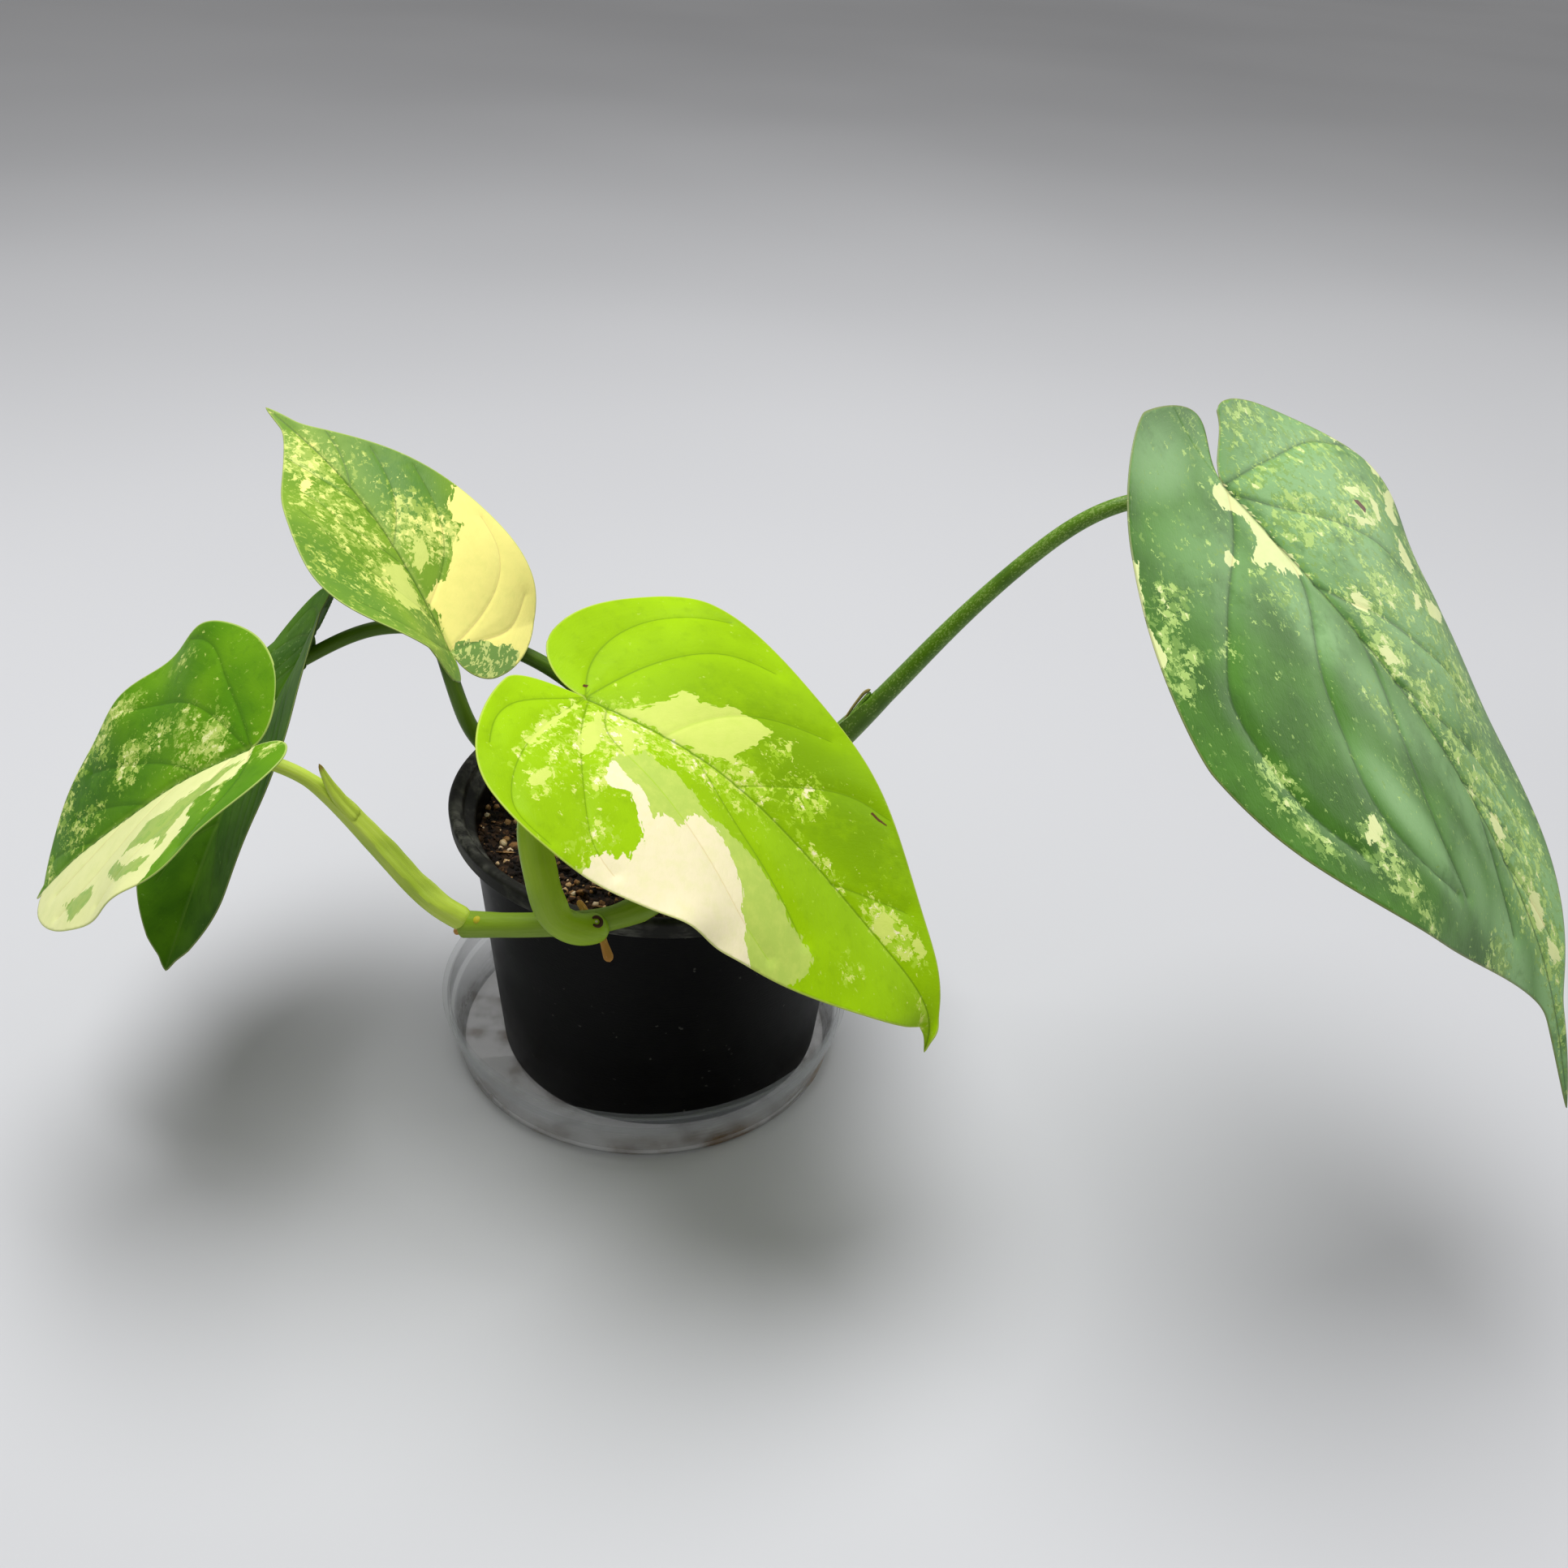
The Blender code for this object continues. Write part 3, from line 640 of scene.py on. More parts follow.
@dataclass(frozen=True)
class Spot:
    """A soft-edged spot of a leaf: its middle and half sizes in flat coordinates, and how strong it is.

    The strength is a share for speckles and tints, and a height in mm for a rise or hollow.
    """

    across: float
    past: float
    wide: float
    long: float
    strength: float

    def at(self, x: Array, v: Array, power: float = 1.0) -> Array:
        """Strength at flat points, which a higher power keeps more even in the middle."""
        away = ((x - self.across) / self.wide) ** 2 + ((v - self.past) / self.long) ** 2
        return self.strength * np.exp(-(away**power))


def drawn(*rows: str) -> Lines:
    """Lines of points, from rows such as "0 0, -17 7, -28 14"."""
    return tuple(tuple(tuple(map(float, pair.split())) for pair in row.split(",")) for row in rows)


def spots(row: str) -> tuple[Spot, ...]:
    """Spots, from a row of their numbers with commas between the spots."""
    return tuple(Spot(*numbers) for numbers in drawn(row)[0])


@dataclass(frozen=True)
class Half:
    """One half of a blade laid flat, in mm, and how it stands off the midrib, in degrees.

    width is the half's greatest width, at the distance widest past the notch. The lobe reaches lobe
    behind the notch, at lobe_mid from the midrib. taper, shoulder and roundness shape the edge. fold
    is the rise from the midrib at the notch and at the tip, curl is the turn from the midrib to the
    edge, and wave is the height and phase of the edge's ripple. tuck is how far the lobe bulges
    towards the notch's other side.
    """

    width: float
    widest: float
    lobe: float
    lobe_mid: float
    taper: float
    shoulder: float
    roundness: float
    fold: Point
    curl: float
    wave: Point
    tuck: float = 0.0

    LOBE_SHARE = 0.18
    SHOULDER_SHARE = 0.46
    CROWDING = 0.85
    TIP_SHAPE = 0.8
    TIP_LIMIT = 2.5

    def edge(self, length: float, drip: Point, share: float) -> Point:
        """Point of the edge.

        Args:
            length: The midrib's length.
            drip: Length and half width of the drip tip.
            share: Share of the way from notch to tip.

        Returns:
            Distances from the midrib and past the notch.
        """
        if share <= self.LOBE_SHARE:
            turn = share / self.LOBE_SHARE * math.pi / 2
            inner = self.lobe_mid * (1 - math.cos(turn)) - self.tuck * math.sin(2 * turn) ** 2
            return inner, -self.lobe * math.sin(turn)
        if share <= self.SHOULDER_SHARE:
            turn = (share - self.LOBE_SHARE) / (self.SHOULDER_SHARE - self.LOBE_SHARE) * math.pi / 2
            power = 2 / self.roundness
            outward = (self.width - self.lobe_mid) * math.sin(turn) ** power
            back = (self.widest + self.lobe) * max(math.cos(turn), 0) ** power
            return self.lobe_mid + outward, self.widest - back
        front = ((share - self.SHOULDER_SHARE) / (1 - self.SHOULDER_SHARE)) ** self.CROWDING
        past = self.widest + (length - self.widest) * front
        drip_length, drip_width = drip
        reach = min((past - self.widest) / (length - drip_length - self.widest), 1)
        body = self.width * (1 - reach**self.shoulder) ** self.taper
        ahead = max(length - past, 0)
        point = drip_width * min(ahead / drip_length, self.TIP_LIMIT) ** self.TIP_SHAPE
        return (body**3 + point**3) ** (1 / 3), past


@dataclass(frozen=True)
class LeafFinish:
    """Colours and gloss of one leaf.

    blot is how many speckle lumps there are in a mm across and along the blade, haze how pale the
    veil among them is, and specks the share of the plain green that single dots cover. vein is how
    strongly a band along the vein grooves is painted darker, as shade. One colour is painted light,
    laid on soft spots of the leaf: a darker green for painted shade, or a pale blue-green for a
    painted sheen.
    """

    green: Colour
    shadow: Colour
    light: Colour
    pale: Colour
    sage: Colour
    cream: Colour
    deep: Colour
    rim: Colour
    under: Colour
    line: Colour
    # Painted light: a darker green for painted shade, or a pale blue-green for a painted sheen.
    bloom: Colour = (0.5, 0.6, 0.4)
    vein: float = 0.25
    gloss: float = 0.42
    specks: float = 0.006
    shine: float = 0.3
    net: float = 0.2
    haze: float = 0.28
    lines: float = 0.4
    blot: Point = (0.34, 0.45)

    TAN = screen(204, 180, 112)
    BROWN = screen(92, 58, 24)

    def plain(self, g: ShaderGraph, flat: Wire, run: Wire) -> Wire:
        """Green of the blade before its markings.

        Args:
            g: The material's graph.
            flat: Flat coordinates.
            run: Coordinates along and across the veins.

        Returns:
            The colour.
        """
        wide = g.noise(flat, 0.05, 2)
        mid = g.noise(flat, 0.3, 3, 0.6)
        streaks = g.noise(g.stretched(run, 0.10, 0.8), 1.0, 3, 0.6)
        colour = g.mix(wide.between(0.35, 0.65), self.green, self.light)
        colour = g.mix(streaks.between(0.45, 0.75) * 0.25, colour, self.light)
        colour = g.mix(mid.between(0.5, 0.75) * 0.25, colour, self.shadow)
        # Painted shade and sheen: that colour is laid on the soft spots that the mesh stores.
        bloom = g.attribute("bloom") * (mid * 0.5 + wide * 0.9).between(0.35, 0.75)
        colour = g.mix(bloom, colour, self.bloom)
        # Painted shade: a soft band along the vein grooves is darkened towards the shadow green.
        return g.mix(g.attribute("vein") * self.vein, colour, self.shadow)

    def speckled(self, g: ShaderGraph, flat: Wire, run: Wire, colour: Wire) -> Wire:
        """Colour with the pale speckles on it.

        Args:
            g: The material's graph.
            flat: Flat coordinates.
            run: Coordinates along and across the veins.
            colour: The colour so far.

        Returns:
            The colour.
        """
        fill = g.attribute("fleck")
        shift = g.add("ShaderNodeTexNoise", None, {"Vector": flat, "Scale": 0.7, "Detail": 3.0}).out("Color")
        shift = g.vector("MULTIPLY", shift, (1.2, 1.2, 0))
        spot = g.vector("ADD", g.stretched(flat, *self.blot), shift)
        group = g.noise(spot, 0.6, 4, 0.62)
        other = g.noise(g.vector("ADD", spot, (9, 4, 7)), 1.1, 5, 0.66)
        cell, fine = g.cells(spot, 1.5), g.cells(spot, 3.2)
        rough = (cell - 0.5) * 0.4 + (fine - 0.5) * 0.16
        score = fill**0.5 * 0.8 - 0.66 + (group - 0.5) * 2.5 - rough
        veil = fill**0.5 * 0.8 - 0.5 + (other - 0.5) * 2.4 - rough
        colour = g.mix(veil.between(0, 0.05) * 0.85, colour, g.mix(self.haze, self.light, self.pale))
        bright = (cell * 23).sine().between(0.2, 0.3) * (score - 0.2).between(0, 0.06)
        colour = g.mix(score.between(0, 0.03) * 0.92, colour, g.mix(bright, self.pale, self.cream))
        single = g.cells(g.stretched(run, 1.6, 2.0), 1.0)
        sown = self.specks * other.between(0.4, 0.7) * 2
        dots = (sown + fill * 0.1 - single).between(0, 0.01)
        return g.mix(dots * 0.6, colour, self.pale)

    def patched(self, g: ShaderGraph, flat: Wire, run: Wire, colour: Wire) -> Wire:
        """Colour with the larger patches on it.

        Args:
            g: The material's graph.
            flat: Flat coordinates.
            run: Coordinates along and across the veins.
            colour: The colour so far.

        Returns:
            The colour.
        """
        jag = (g.cells(g.stretched(run, 0.4, 0.9), 1.0) - 0.5) * 1.3
        ragged = jag + (g.noise(flat, 0.3, 4, 0.6) - 0.5) * 2.0
        masks = {shade: (g.attribute(shade.value) + ragged).between(-0.06, 0.06) for shade in Shade}
        scar = (g.attribute(Shade.SCAR.value) + ragged * 0.15).between(-0.1, 0.1)
        mid = g.noise(flat, 0.25, 4, 0.65).between(0.4, 0.7)
        thin = g.attribute("near").bell(0, 0.3) * g.attribute("vein").between(0.15, 0.5)
        faded = g.mix(0.35, self.pale, self.light)
        pale = g.mix(mid * 0.3, self.pale, faded)
        colour = g.mix(masks[Shade.PALE], colour, g.mix(thin * 0.6, pale, faded))
        sage = g.mix(mid * 0.4, self.sage, self.pale)
        colour = g.mix(masks[Shade.SAGE], colour, g.mix(thin * 0.5, sage, self.light))
        cream = g.mix(mid * 0.15, self.cream, self.pale)
        colour = g.mix(masks[Shade.CREAM], colour, g.mix(thin * 0.45, cream, self.TAN))
        grain = g.cells(g.stretched(run, 0.9, 1.3), 1.0)
        deep = g.mix((grain * 0.5 + mid * 0.6 - 0.55).between(0, 0.03), self.deep, self.sage)
        colour = g.mix(masks[Shade.DEEP], colour, deep)
        return g.mix(scar, colour, self.BROWN)

    def material(self, name: str) -> Material:
        """Make the material, which reads the patches and veins stored on the mesh.

        Args:
            name: Its name.

        Returns:
            The material.
        """
        g = ShaderGraph(name)
        flat, run = g.place("flat"), g.place("run")
        under = g.attribute("under")
        colour = self.plain(g, flat, run)
        colour = self.speckled(g, flat, run, colour)
        thin = g.attribute("near").bell(0, 0.28) * g.attribute("vein").between(0.15, 0.5)
        colour = g.mix(thin * self.lines, colour, self.line)
        colour = self.patched(g, flat, run, colour)
        across = g.parts(flat)[0]
        rib = g.attribute("rib")
        colour = g.mix(rib * (across - 0.7).bell(0, 0.5) * 0.5, colour, g.mix(0.35, self.light, self.pale))
        colour = g.mix(rib * across.bell(-0.1, 0.35) * (0.3 + self.lines), colour, self.line)
        rim = (0.45 - g.attribute("rim")).between(0, 0.35)
        colour = g.mix(rim * 0.6, colour, self.rim)
        colour = g.mix(under * 0.65, colour, self.under)

        fine, mid = g.noise(flat, 2.4, 3, 0.6), g.noise(flat, 0.3, 3, 0.6)
        tertiary = 1 - g.net(g.stretched(run, 0.22, 0.5), 1.0).between(0, 0.12)
        relief = g.bump(fine * 0.3 + mid * 1.5 - tertiary * self.net, 0.05)
        rough = self.gloss + (mid - 0.5) * 0.12 + fine * 0.06 + under * 0.2
        return g.finish(colour, rough, self.shine, relief)


@dataclass
class Leaf:
    """A leaf blade: its midrib in space, its two halves, and the patches, flecks and veins on it.

    roll and twist turn the blade about the midrib, in degrees. Veins and patches are lines in flat
    coordinates. Where a leaf has no veins given, laterals of them follow its plan. groove and quilt
    are how deep the veins and the strips beside them lie, in mm, and spacing is the mesh's. The
    constants are in mm, but ROW, CLEAR_EDGE and CLEAR_RIB are shares of the spacing.
    """

    name: str
    midrib: tuple[Point, ...]
    roll: float
    twist: float
    lobe_arch: float
    drip: Point
    ripple: float
    left: Half
    right: Half
    finish: LeafFinish
    patches: dict[Shade, Lines] = field(default_factory=dict)
    mottles: tuple[Spot, ...] = ()
    veins: Lines = ()
    dents: tuple[Spot, ...] = ()
    # Soft spots where shade, or on the right leaf a sheen, is painted into the colour.
    shade_and_sheen_spots: tuple[Spot, ...] = ()
    fill: Point = (0.0, 0.0)
    sweep: float = 0.8
    laterals: int = 5
    groove: float = 0.3
    quilt: float = 0.25
    spacing: float = 0.65
    rib: Spline = field(init=False)

    THICKNESS = 0.5
    MARGIN = 0.36
    RELIEF_FROM_EDGE = 3
    GROOVE_SPREAD = 0.75
    PILLOW_SPREAD = 4.5
    CREASE, CREASE_SPREAD = 0.5, 1.1
    VEIN_DROP, VEIN_SPREAD = 0.25, 0.7
    RIB_DROP, RIB_SPREAD = 1.6, 1.4
    VEIN_TINT, RIB_TINT = 0.9, 1.3
    PROBE = 0.6
    ROW = 0.866
    CLEAR_EDGE, CLEAR_RIB = 0.55, 0.4
    EDGE_STEPS, LOBE_STEPS = 700, 40
    FAR = 99.0
    LATERAL = ((0, 0), (0.35, 0.22), (0.7, 0.6), (0.85, 1.05))
    LOBE_VEIN = ((0, 0), (0.7, 0.45), (1.5, 0.6), (2.4, 0.2))

    def __post_init__(self) -> None:
        """Fit the midrib."""
        self.rib = Spline(self.midrib)

    def frame(self, past: Array) -> tuple[Array, Array, Array]:
        """Frames along the midrib.

        Args:
            past: Distances past the notch.

        Returns:
            Points, directions up from the blade, and directions to its right.
        """
        inside = np.clip(past, 0, self.rib.length)
        along = self.rib.along(inside)
        level = unit(np.array((0.0, 0.0, 1.0)) - along * along[:, 2:])
        turn = np.radians(self.roll + self.twist * (inside / self.rib.length - 0.5))[:, None]
        up = level * np.cos(turn) + np.cross(along, level) * np.sin(turn)
        behind = np.minimum(past, 0)[:, None]
        points = self.rib.at(inside) + along * behind + up * (self.lobe_arch * behind**2 / 2)
        return points, up, np.cross(along, up)

    def side(self, across: Array, past: Array) -> Array:
        """Which half points are on: 1 for the right one and -1 for the left one.

        Args:
            across: Distances from the midrib, plus to the right.
            past: Distances past the notch.

        Returns:
            One number for each point. Behind the notch, the line between the halves runs midway
            between their lobes.
        """
        behind = np.maximum(-past, 0)
        inner = []
        for half in (self.right, self.left):
            shares = np.linspace(0, Half.LOBE_SHARE, self.LOBE_STEPS)
            line = np.array([half.edge(self.rib.length, self.drip, share) for share in shares])
            inner.append(np.interp(behind, -line[:, 1], line[:, 0]))
        beyond = -self.FAR if self.right.lobe > self.left.lobe else self.FAR
        middle = np.where(behind > min(self.left.lobe, self.right.lobe), beyond, (inner[0] - inner[1]) / 2)
        return np.where(across > np.where(past < 0, middle, 0), 1.0, -1.0)

    def sheet(self, across: Array, past: Array) -> Array:
        """Points of the plain sheet in space.

        Args:
            across: Distances from the midrib, plus to the right.
            past: Distances past the notch.

        Returns:
            One point for each pair.
        """
        points, up, right = self.frame(past)
        side = self.side(across, past)
        out = side * across
        progress = np.clip(past / self.rib.length, 0, 1)

        def pick(read: Callable[[Half], float]) -> Array:
            """Value of the half that each point is on."""
            return np.where(side > 0, read(self.right), read(self.left))

        fold = np.radians(pick(lambda h: h.fold[0]) + pick(lambda h: h.fold[1] - h.fold[0]) * progress)
        bend = np.radians(pick(lambda h: h.curl)) / pick(lambda h: h.width)
        sideways = (np.sin(fold + bend * out) - np.sin(fold)) / bend
        phase = np.radians(pick(lambda h: h.wave[1]))
        ripple = pick(lambda h: h.wave[0]) * np.sin(math.tau * past / self.ripple + phase)
        rise = (np.cos(fold) - np.cos(fold + bend * out)) / bend
        rise = rise + ripple * (out / pick(lambda h: h.width)) ** 2
        for dent in self.dents:
            rise = rise + dent.at(across, past)
        return points + right * (side * sideways)[:, None] + up * rise[:, None]

    def margin(self) -> Array:
        """Outline in flat coordinates, evenly spaced from the notch round the right half and back.

        Returns:
            The outline's points.
        """
        halves = []
        for half, side in ((self.right, 1), (self.left, -1)):
            shares = np.linspace(0, 1, self.EDGE_STEPS)
            line = np.array([half.edge(self.rib.length, self.drip, share) for share in shares]) * (side, 1)
            reach = np.concatenate(([0.0], np.cumsum(np.linalg.norm(np.diff(line, axis=0), axis=1))))
            even = np.linspace(0, reach[-1], int(reach[-1] / self.spacing) + 1)
            halves.append(np.stack([np.interp(even, reach, line[:, i]) for i in (0, 1)], axis=1))
        return np.concatenate((halves[0], halves[1][-2:0:-1]))

    def vein_lines(self) -> list[Array]:
        """Lateral veins as lines of flat points: those given, or else ones that follow the leaf's plan."""
        lines = [Spline(points) for points in self.veins] or self.planned()
        return [line.at(np.linspace(0, line.length, max(int(line.length / 2), 3))) for line in lines]

    def planned(self) -> list[Spline]:
        """Lateral veins that follow the leaf's plan.

        Returns:
            The veins.
        """
        lines = []
        for side, half in ((1, self.right), (-1, self.left)):
            for order in range(self.laterals):
                root = self.rib.length * 0.72 * (order / self.laterals) ** 1.2
                reach = half.width * (1 - 0.75 * order / self.laterals)
                lines.append(Spline([(side * reach * out, root + self.sweep * reach * ahead)
                                     for out, ahead in self.LATERAL]))
            lines.append(Spline([(side * half.lobe_mid * out, -half.lobe * back)
                                 for out, back in self.LOBE_VEIN]))
            lines.append(Spline(((0, 0), (side * half.width * 0.35, -1),
                                 (side * half.width * 0.7, half.widest * 0.35),
                                 (side * half.width * 0.85, half.widest))))
        return lines

    def fields(self, flat: Array, margin: Array) -> dict[str, Array]:
        """What the mesh stores for the material.

        Args:
            flat: Flat coordinates of the mesh points.
            margin: The outline.

        Returns:
            Arrays by name.
        """
        x, v = flat[:, 0], flat[:, 1]
        found = {"rim": np.maximum(polygon_distance(x, v, margin), 0)}
        nearest = np.full(len(x), np.inf)
        for line in self.vein_lines():
            away = polygon_distance(x, v, line, closed=False)
            from_root = np.hypot(x - line[0, 0], v - line[0, 1])
            away = away * (1 + 1.2 * np.clip(from_root / (self.rib.length * 0.6), 0, 1))
            nearest = np.where(np.abs(away) < np.abs(nearest), away, nearest)
        found["near"] = nearest
        found["vein"] = bell(nearest, self.VEIN_TINT)
        taper = np.clip(1.15 - v / self.rib.length, 0.15, 1)
        found["rib"] = bell(x, self.RIB_TINT * taper) * (v > -0.5)
        for shade in Shade:
            outlines = [np.array(line, dtype=float) for line in self.patches.get(shade, ())]
            marked = [polygon_distance(x, v, outline) for outline in outlines]
            found[shade.value] = np.max(marked or [np.full(len(x), -self.FAR)], axis=0)
        plain = np.where(x > 0, self.fill[1], self.fill[0])
        found["fleck"] = np.max([plain, *(spot.at(x, v, 1.5) for spot in self.mottles)], axis=0)
        # Painted shade and sheen, from the listed soft spots.
        found["bloom"] = np.max([np.zeros(len(x)), *(spot.at(x, v, 1.5) for spot in self.shade_and_sheen_spots)], axis=0)
        found["flat"] = np.stack((x, v, np.zeros_like(x)), axis=1)
        out = np.abs(x)
        from_fan = v - self.sweep * out
        fan = (np.arctan2(v, out) - math.atan(self.sweep)) * np.hypot(x, v)
        along = np.where(from_fan > 0, out * math.hypot(1, self.sweep), np.hypot(x, v))
        beside = np.where(from_fan > 0, from_fan, fan)
        found["run"] = np.stack((along, beside, np.where(x > 0, 0.0, 50.0)), axis=1)
        return found

    def plan(self, margin: Array) -> tuple[Array, list[list[int]], Array]:
        """Fill the outline with triangles between evenly spaced points.

        Args:
            margin: The outline.

        Returns:
            Flat points, triangles, and which points the outline has.
        """
        gap = self.spacing
        rows = np.arange(margin[:, 1].min(), self.rib.length, gap * self.ROW)
        columns = np.arange(-math.ceil(self.left.width / gap), math.ceil(self.right.width / gap) + 1) * gap
        lattice = np.concatenate([np.stack((columns + gap / 2 * (i % 2), np.full(len(columns), row)), axis=1)
                                  for i, row in enumerate(rows)])
        clear = polygon_distance(lattice[:, 0], lattice[:, 1], margin) > self.CLEAR_EDGE * gap
        lattice = lattice[clear & (np.abs(lattice[:, 0]) > self.CLEAR_RIB * gap)]
        spine = np.arange(gap, self.rib.length - gap / 2, gap)
        spine = np.stack((np.zeros_like(spine), spine), axis=1)
        count, tip = len(margin), int(np.argmax(margin[:, 1]))
        chain = [0, *range(count, count + len(spine)), tip]
        edges = [(i, (i + 1) % count) for i in range(count)] + list(zip(chain, chain[1:]))
        given = [Vector(p) for p in np.concatenate((margin, spine, lattice))]
        points, _, triangles, origins, _, _ = delaunay_2d_cdt(given, edges, [], 1, 1e-6)
        place_of = {origin: i for i, group in enumerate(origins) for origin in group}
        ring = np.array([place_of[i] for i in range(count)])
        return np.array([tuple(p) for p in points]), triangles, ring

    def normals(self, x: Array, v: Array) -> Array:
        """Directions up from the sheet at flat points.

        Args:
            x: Points' distances from the midrib.
            v: Their distances past the notch.

        Returns:
            The directions.
        """
        sideways = self.sheet(x + self.PROBE, v) - self.sheet(x - self.PROBE, v)
        forward = self.sheet(x, v + self.PROBE) - self.sheet(x, v - self.PROBE)
        normal = unit(np.cross(sideways, forward))
        _, up, _ = self.frame(v)
        return normal * np.sign((normal * up).sum(axis=1))[:, None]

    def skins(
        self, flat: Array, ring: Array, found: dict[str, Array]
    ) -> tuple[Array, Array, Array, Array]:
        """Thicken the sheet, with grooves above and ribs below.

        Args:
            flat: Flat coordinates of the points.
            ring: Which points the outline has.
            found: What the mesh stores for the material.

        Returns:
            Points of the plain sheet, the upper side, the underside, and the margin between them.
        """
        x, v = flat[:, 0], flat[:, 1]
        near, rim = found["near"], found["rim"]
        surface, normal = self.sheet(x, v), self.normals(x, v)
        inside = np.clip(rim / self.RELIEF_FROM_EDGE, 0, 1)
        taper = np.clip(1 - v / self.rib.length, 0, 1)
        hollow = self.groove * bell(near, self.GROOVE_SPREAD) * inside
        pillow = self.quilt * bell(near, self.PILLOW_SPREAD) * inside * np.clip((np.abs(x) - 1) / 12, 0, 1)
        crease = self.CREASE * bell(x, self.CREASE_SPREAD) * (0.3 + 0.7 * taper) * (v > -0.3)
        top = surface - normal * (hollow + pillow + crease)[:, None]
        drop = self.THICKNESS * np.clip(0.6 + rim / 8, 0, 1) + 0.5 * hollow
        drop += self.VEIN_DROP * bell(near, self.VEIN_SPREAD) * inside
        rib = self.RIB_DROP * taper**0.6 * bell(x, self.RIB_SPREAD)
        drop += rib * np.clip((v + 1) / 2, 0, 1) * inside**0.3
        drop[ring] = self.MARGIN
        bottom = top - normal * drop[:, None]
        middle = (top[ring] + bottom[ring]) / 2
        onward = unit(np.roll(surface[ring], -1, axis=0) - np.roll(surface[ring], 1, axis=0))
        outward = np.cross(onward, normal[ring])
        outward *= np.sign((outward * (middle - surface.mean(axis=0))).sum(axis=1).mean())
        return surface, top, bottom, middle + outward * (self.MARGIN * 0.35)

    @staticmethod
    def faces(
        surface: Array, up: Array, triangles: list[list[int]], ring: Array
    ) -> list[tuple[int, ...]]:
        """Faces of the upper side, the underside and the margin.

        Args:
            surface: Points of the plain sheet.
            up: Directions up from the blade there.
            triangles: The sheet's triangles.
            ring: Which points the outline has.

        Returns:
            The faces, for points in the order upper side, underside and margin.
        """
        total = len(surface)
        corners_of = np.array(triangles)
        a, b, c = (surface[corners_of[:, i]] for i in range(3))
        facing_up = (np.cross(b - a, c - a) * up[corners_of[:, 0]]).sum() > 0
        above = [tuple(t) if facing_up else tuple(t[::-1]) for t in triangles]
        below = [tuple(i + total for i in face[::-1]) for face in above]
        rows = np.array((ring, 2 * total + np.arange(len(ring)), ring + total))
        here, after = rows.tolist(), np.roll(rows, -1, axis=1).tolist()
        sides = [(here[k][i], here[k + 1][i], after[k + 1][i], after[k][i])
                 for i in range(len(ring)) for k in (0, 1)]
        return above + below + sides

    def build(self) -> Object:
        """Build the blade as a closed sheet.

        Returns:
            The blade.
        """
        margin = self.margin()
        flat, triangles, ring = self.plan(margin)
        found = self.fields(flat, margin)
        surface, *skins = self.skins(flat, ring, found)
        _, up, _ = self.frame(flat[:, 1])
        mesh = bpy.data.meshes.new(self.name)
        mesh.from_pydata(np.concatenate(skins) * MM, [], self.faces(surface, up, triangles, ring))
        self.store(mesh, found, ring, len(flat))
        piece = linked(self.name, mesh)
        mesh.materials.append(self.finish.material(self.name))
        face_outwards(mesh)
        mesh.shade_smooth()
        return piece

    @staticmethod
    def store(mesh: Mesh, found: dict[str, Array], ring: Array, total: int) -> None:
        """Write the arrays into the mesh.

        Args:
            mesh: The blade, with its upper side's points first, then its underside's, then its margin's.
            found: Arrays for the upper side.
            ring: Which points the margin has.
            total: How many points one side has.
        """
        found["under"] = np.zeros(total)
        for name, values in found.items():
            lower = np.ones(total) if name == "under" else values
            joined = np.concatenate((values, lower, values[ring])).astype(np.float32)
            kind = "FLOAT_VECTOR" if values.ndim == 2 else "FLOAT"
            layer = mesh.attributes.new(name, kind, "POINT")
            layer.data.foreach_set("vector" if values.ndim == 2 else "value", joined.ravel())

    def seat(self, past: float, depth: float) -> Array:
        """Point below the midrib, where the stalk joins."""
        points, up, _ = self.frame(np.array([past]))
        return points[0] - up[0] * depth


def face_outwards(mesh: Mesh) -> None:
    """Turn a closed mesh's faces outwards."""
    bm = bmesh.new()
    bm.from_mesh(mesh)
    bmesh.ops.recalc_face_normals(bm, faces=bm.faces)
    if bm.calc_volume(signed=True) < 0:
        bmesh.ops.reverse_faces(bm, faces=bm.faces)
    bm.to_mesh(mesh)
    bm.free()


def soften(mesh: Mesh, corner: float) -> None:
    """Shade a mesh smooth, but for edges sharper than a corner in degrees."""
    mesh.shade_smooth()
    mesh.set_sharp_from_angle(angle=math.radians(corner))


def line_mesh(name: str, points: Array, **values: Array) -> Mesh:
    """Guide mesh of points joined in a line.

    Args:
        name: The mesh's name.
        points: Points in metres.
        **values: Arrays to store on the points.

    Returns:
        The mesh.
    """
    mesh = bpy.data.meshes.new(name)
    mesh.from_pydata([tuple(p) for p in points], [(i, i + 1) for i in range(len(points) - 1)], [])
    for label, array in values.items():
        array = np.asarray(array, dtype=np.float32)
        layer = mesh.attributes.new(label, "FLOAT_VECTOR" if array.ndim == 2 else "FLOAT", "POINT")
        layer.data.foreach_set("vector" if array.ndim == 2 else "value", array.ravel())
    return mesh


def profile_mesh(name: str, points: Array) -> Mesh:
    """Guide mesh of a profile, from its distances to the axis and its heights in mm."""
    return line_mesh(name, np.insert(points, 1, 0, axis=1) * MM)


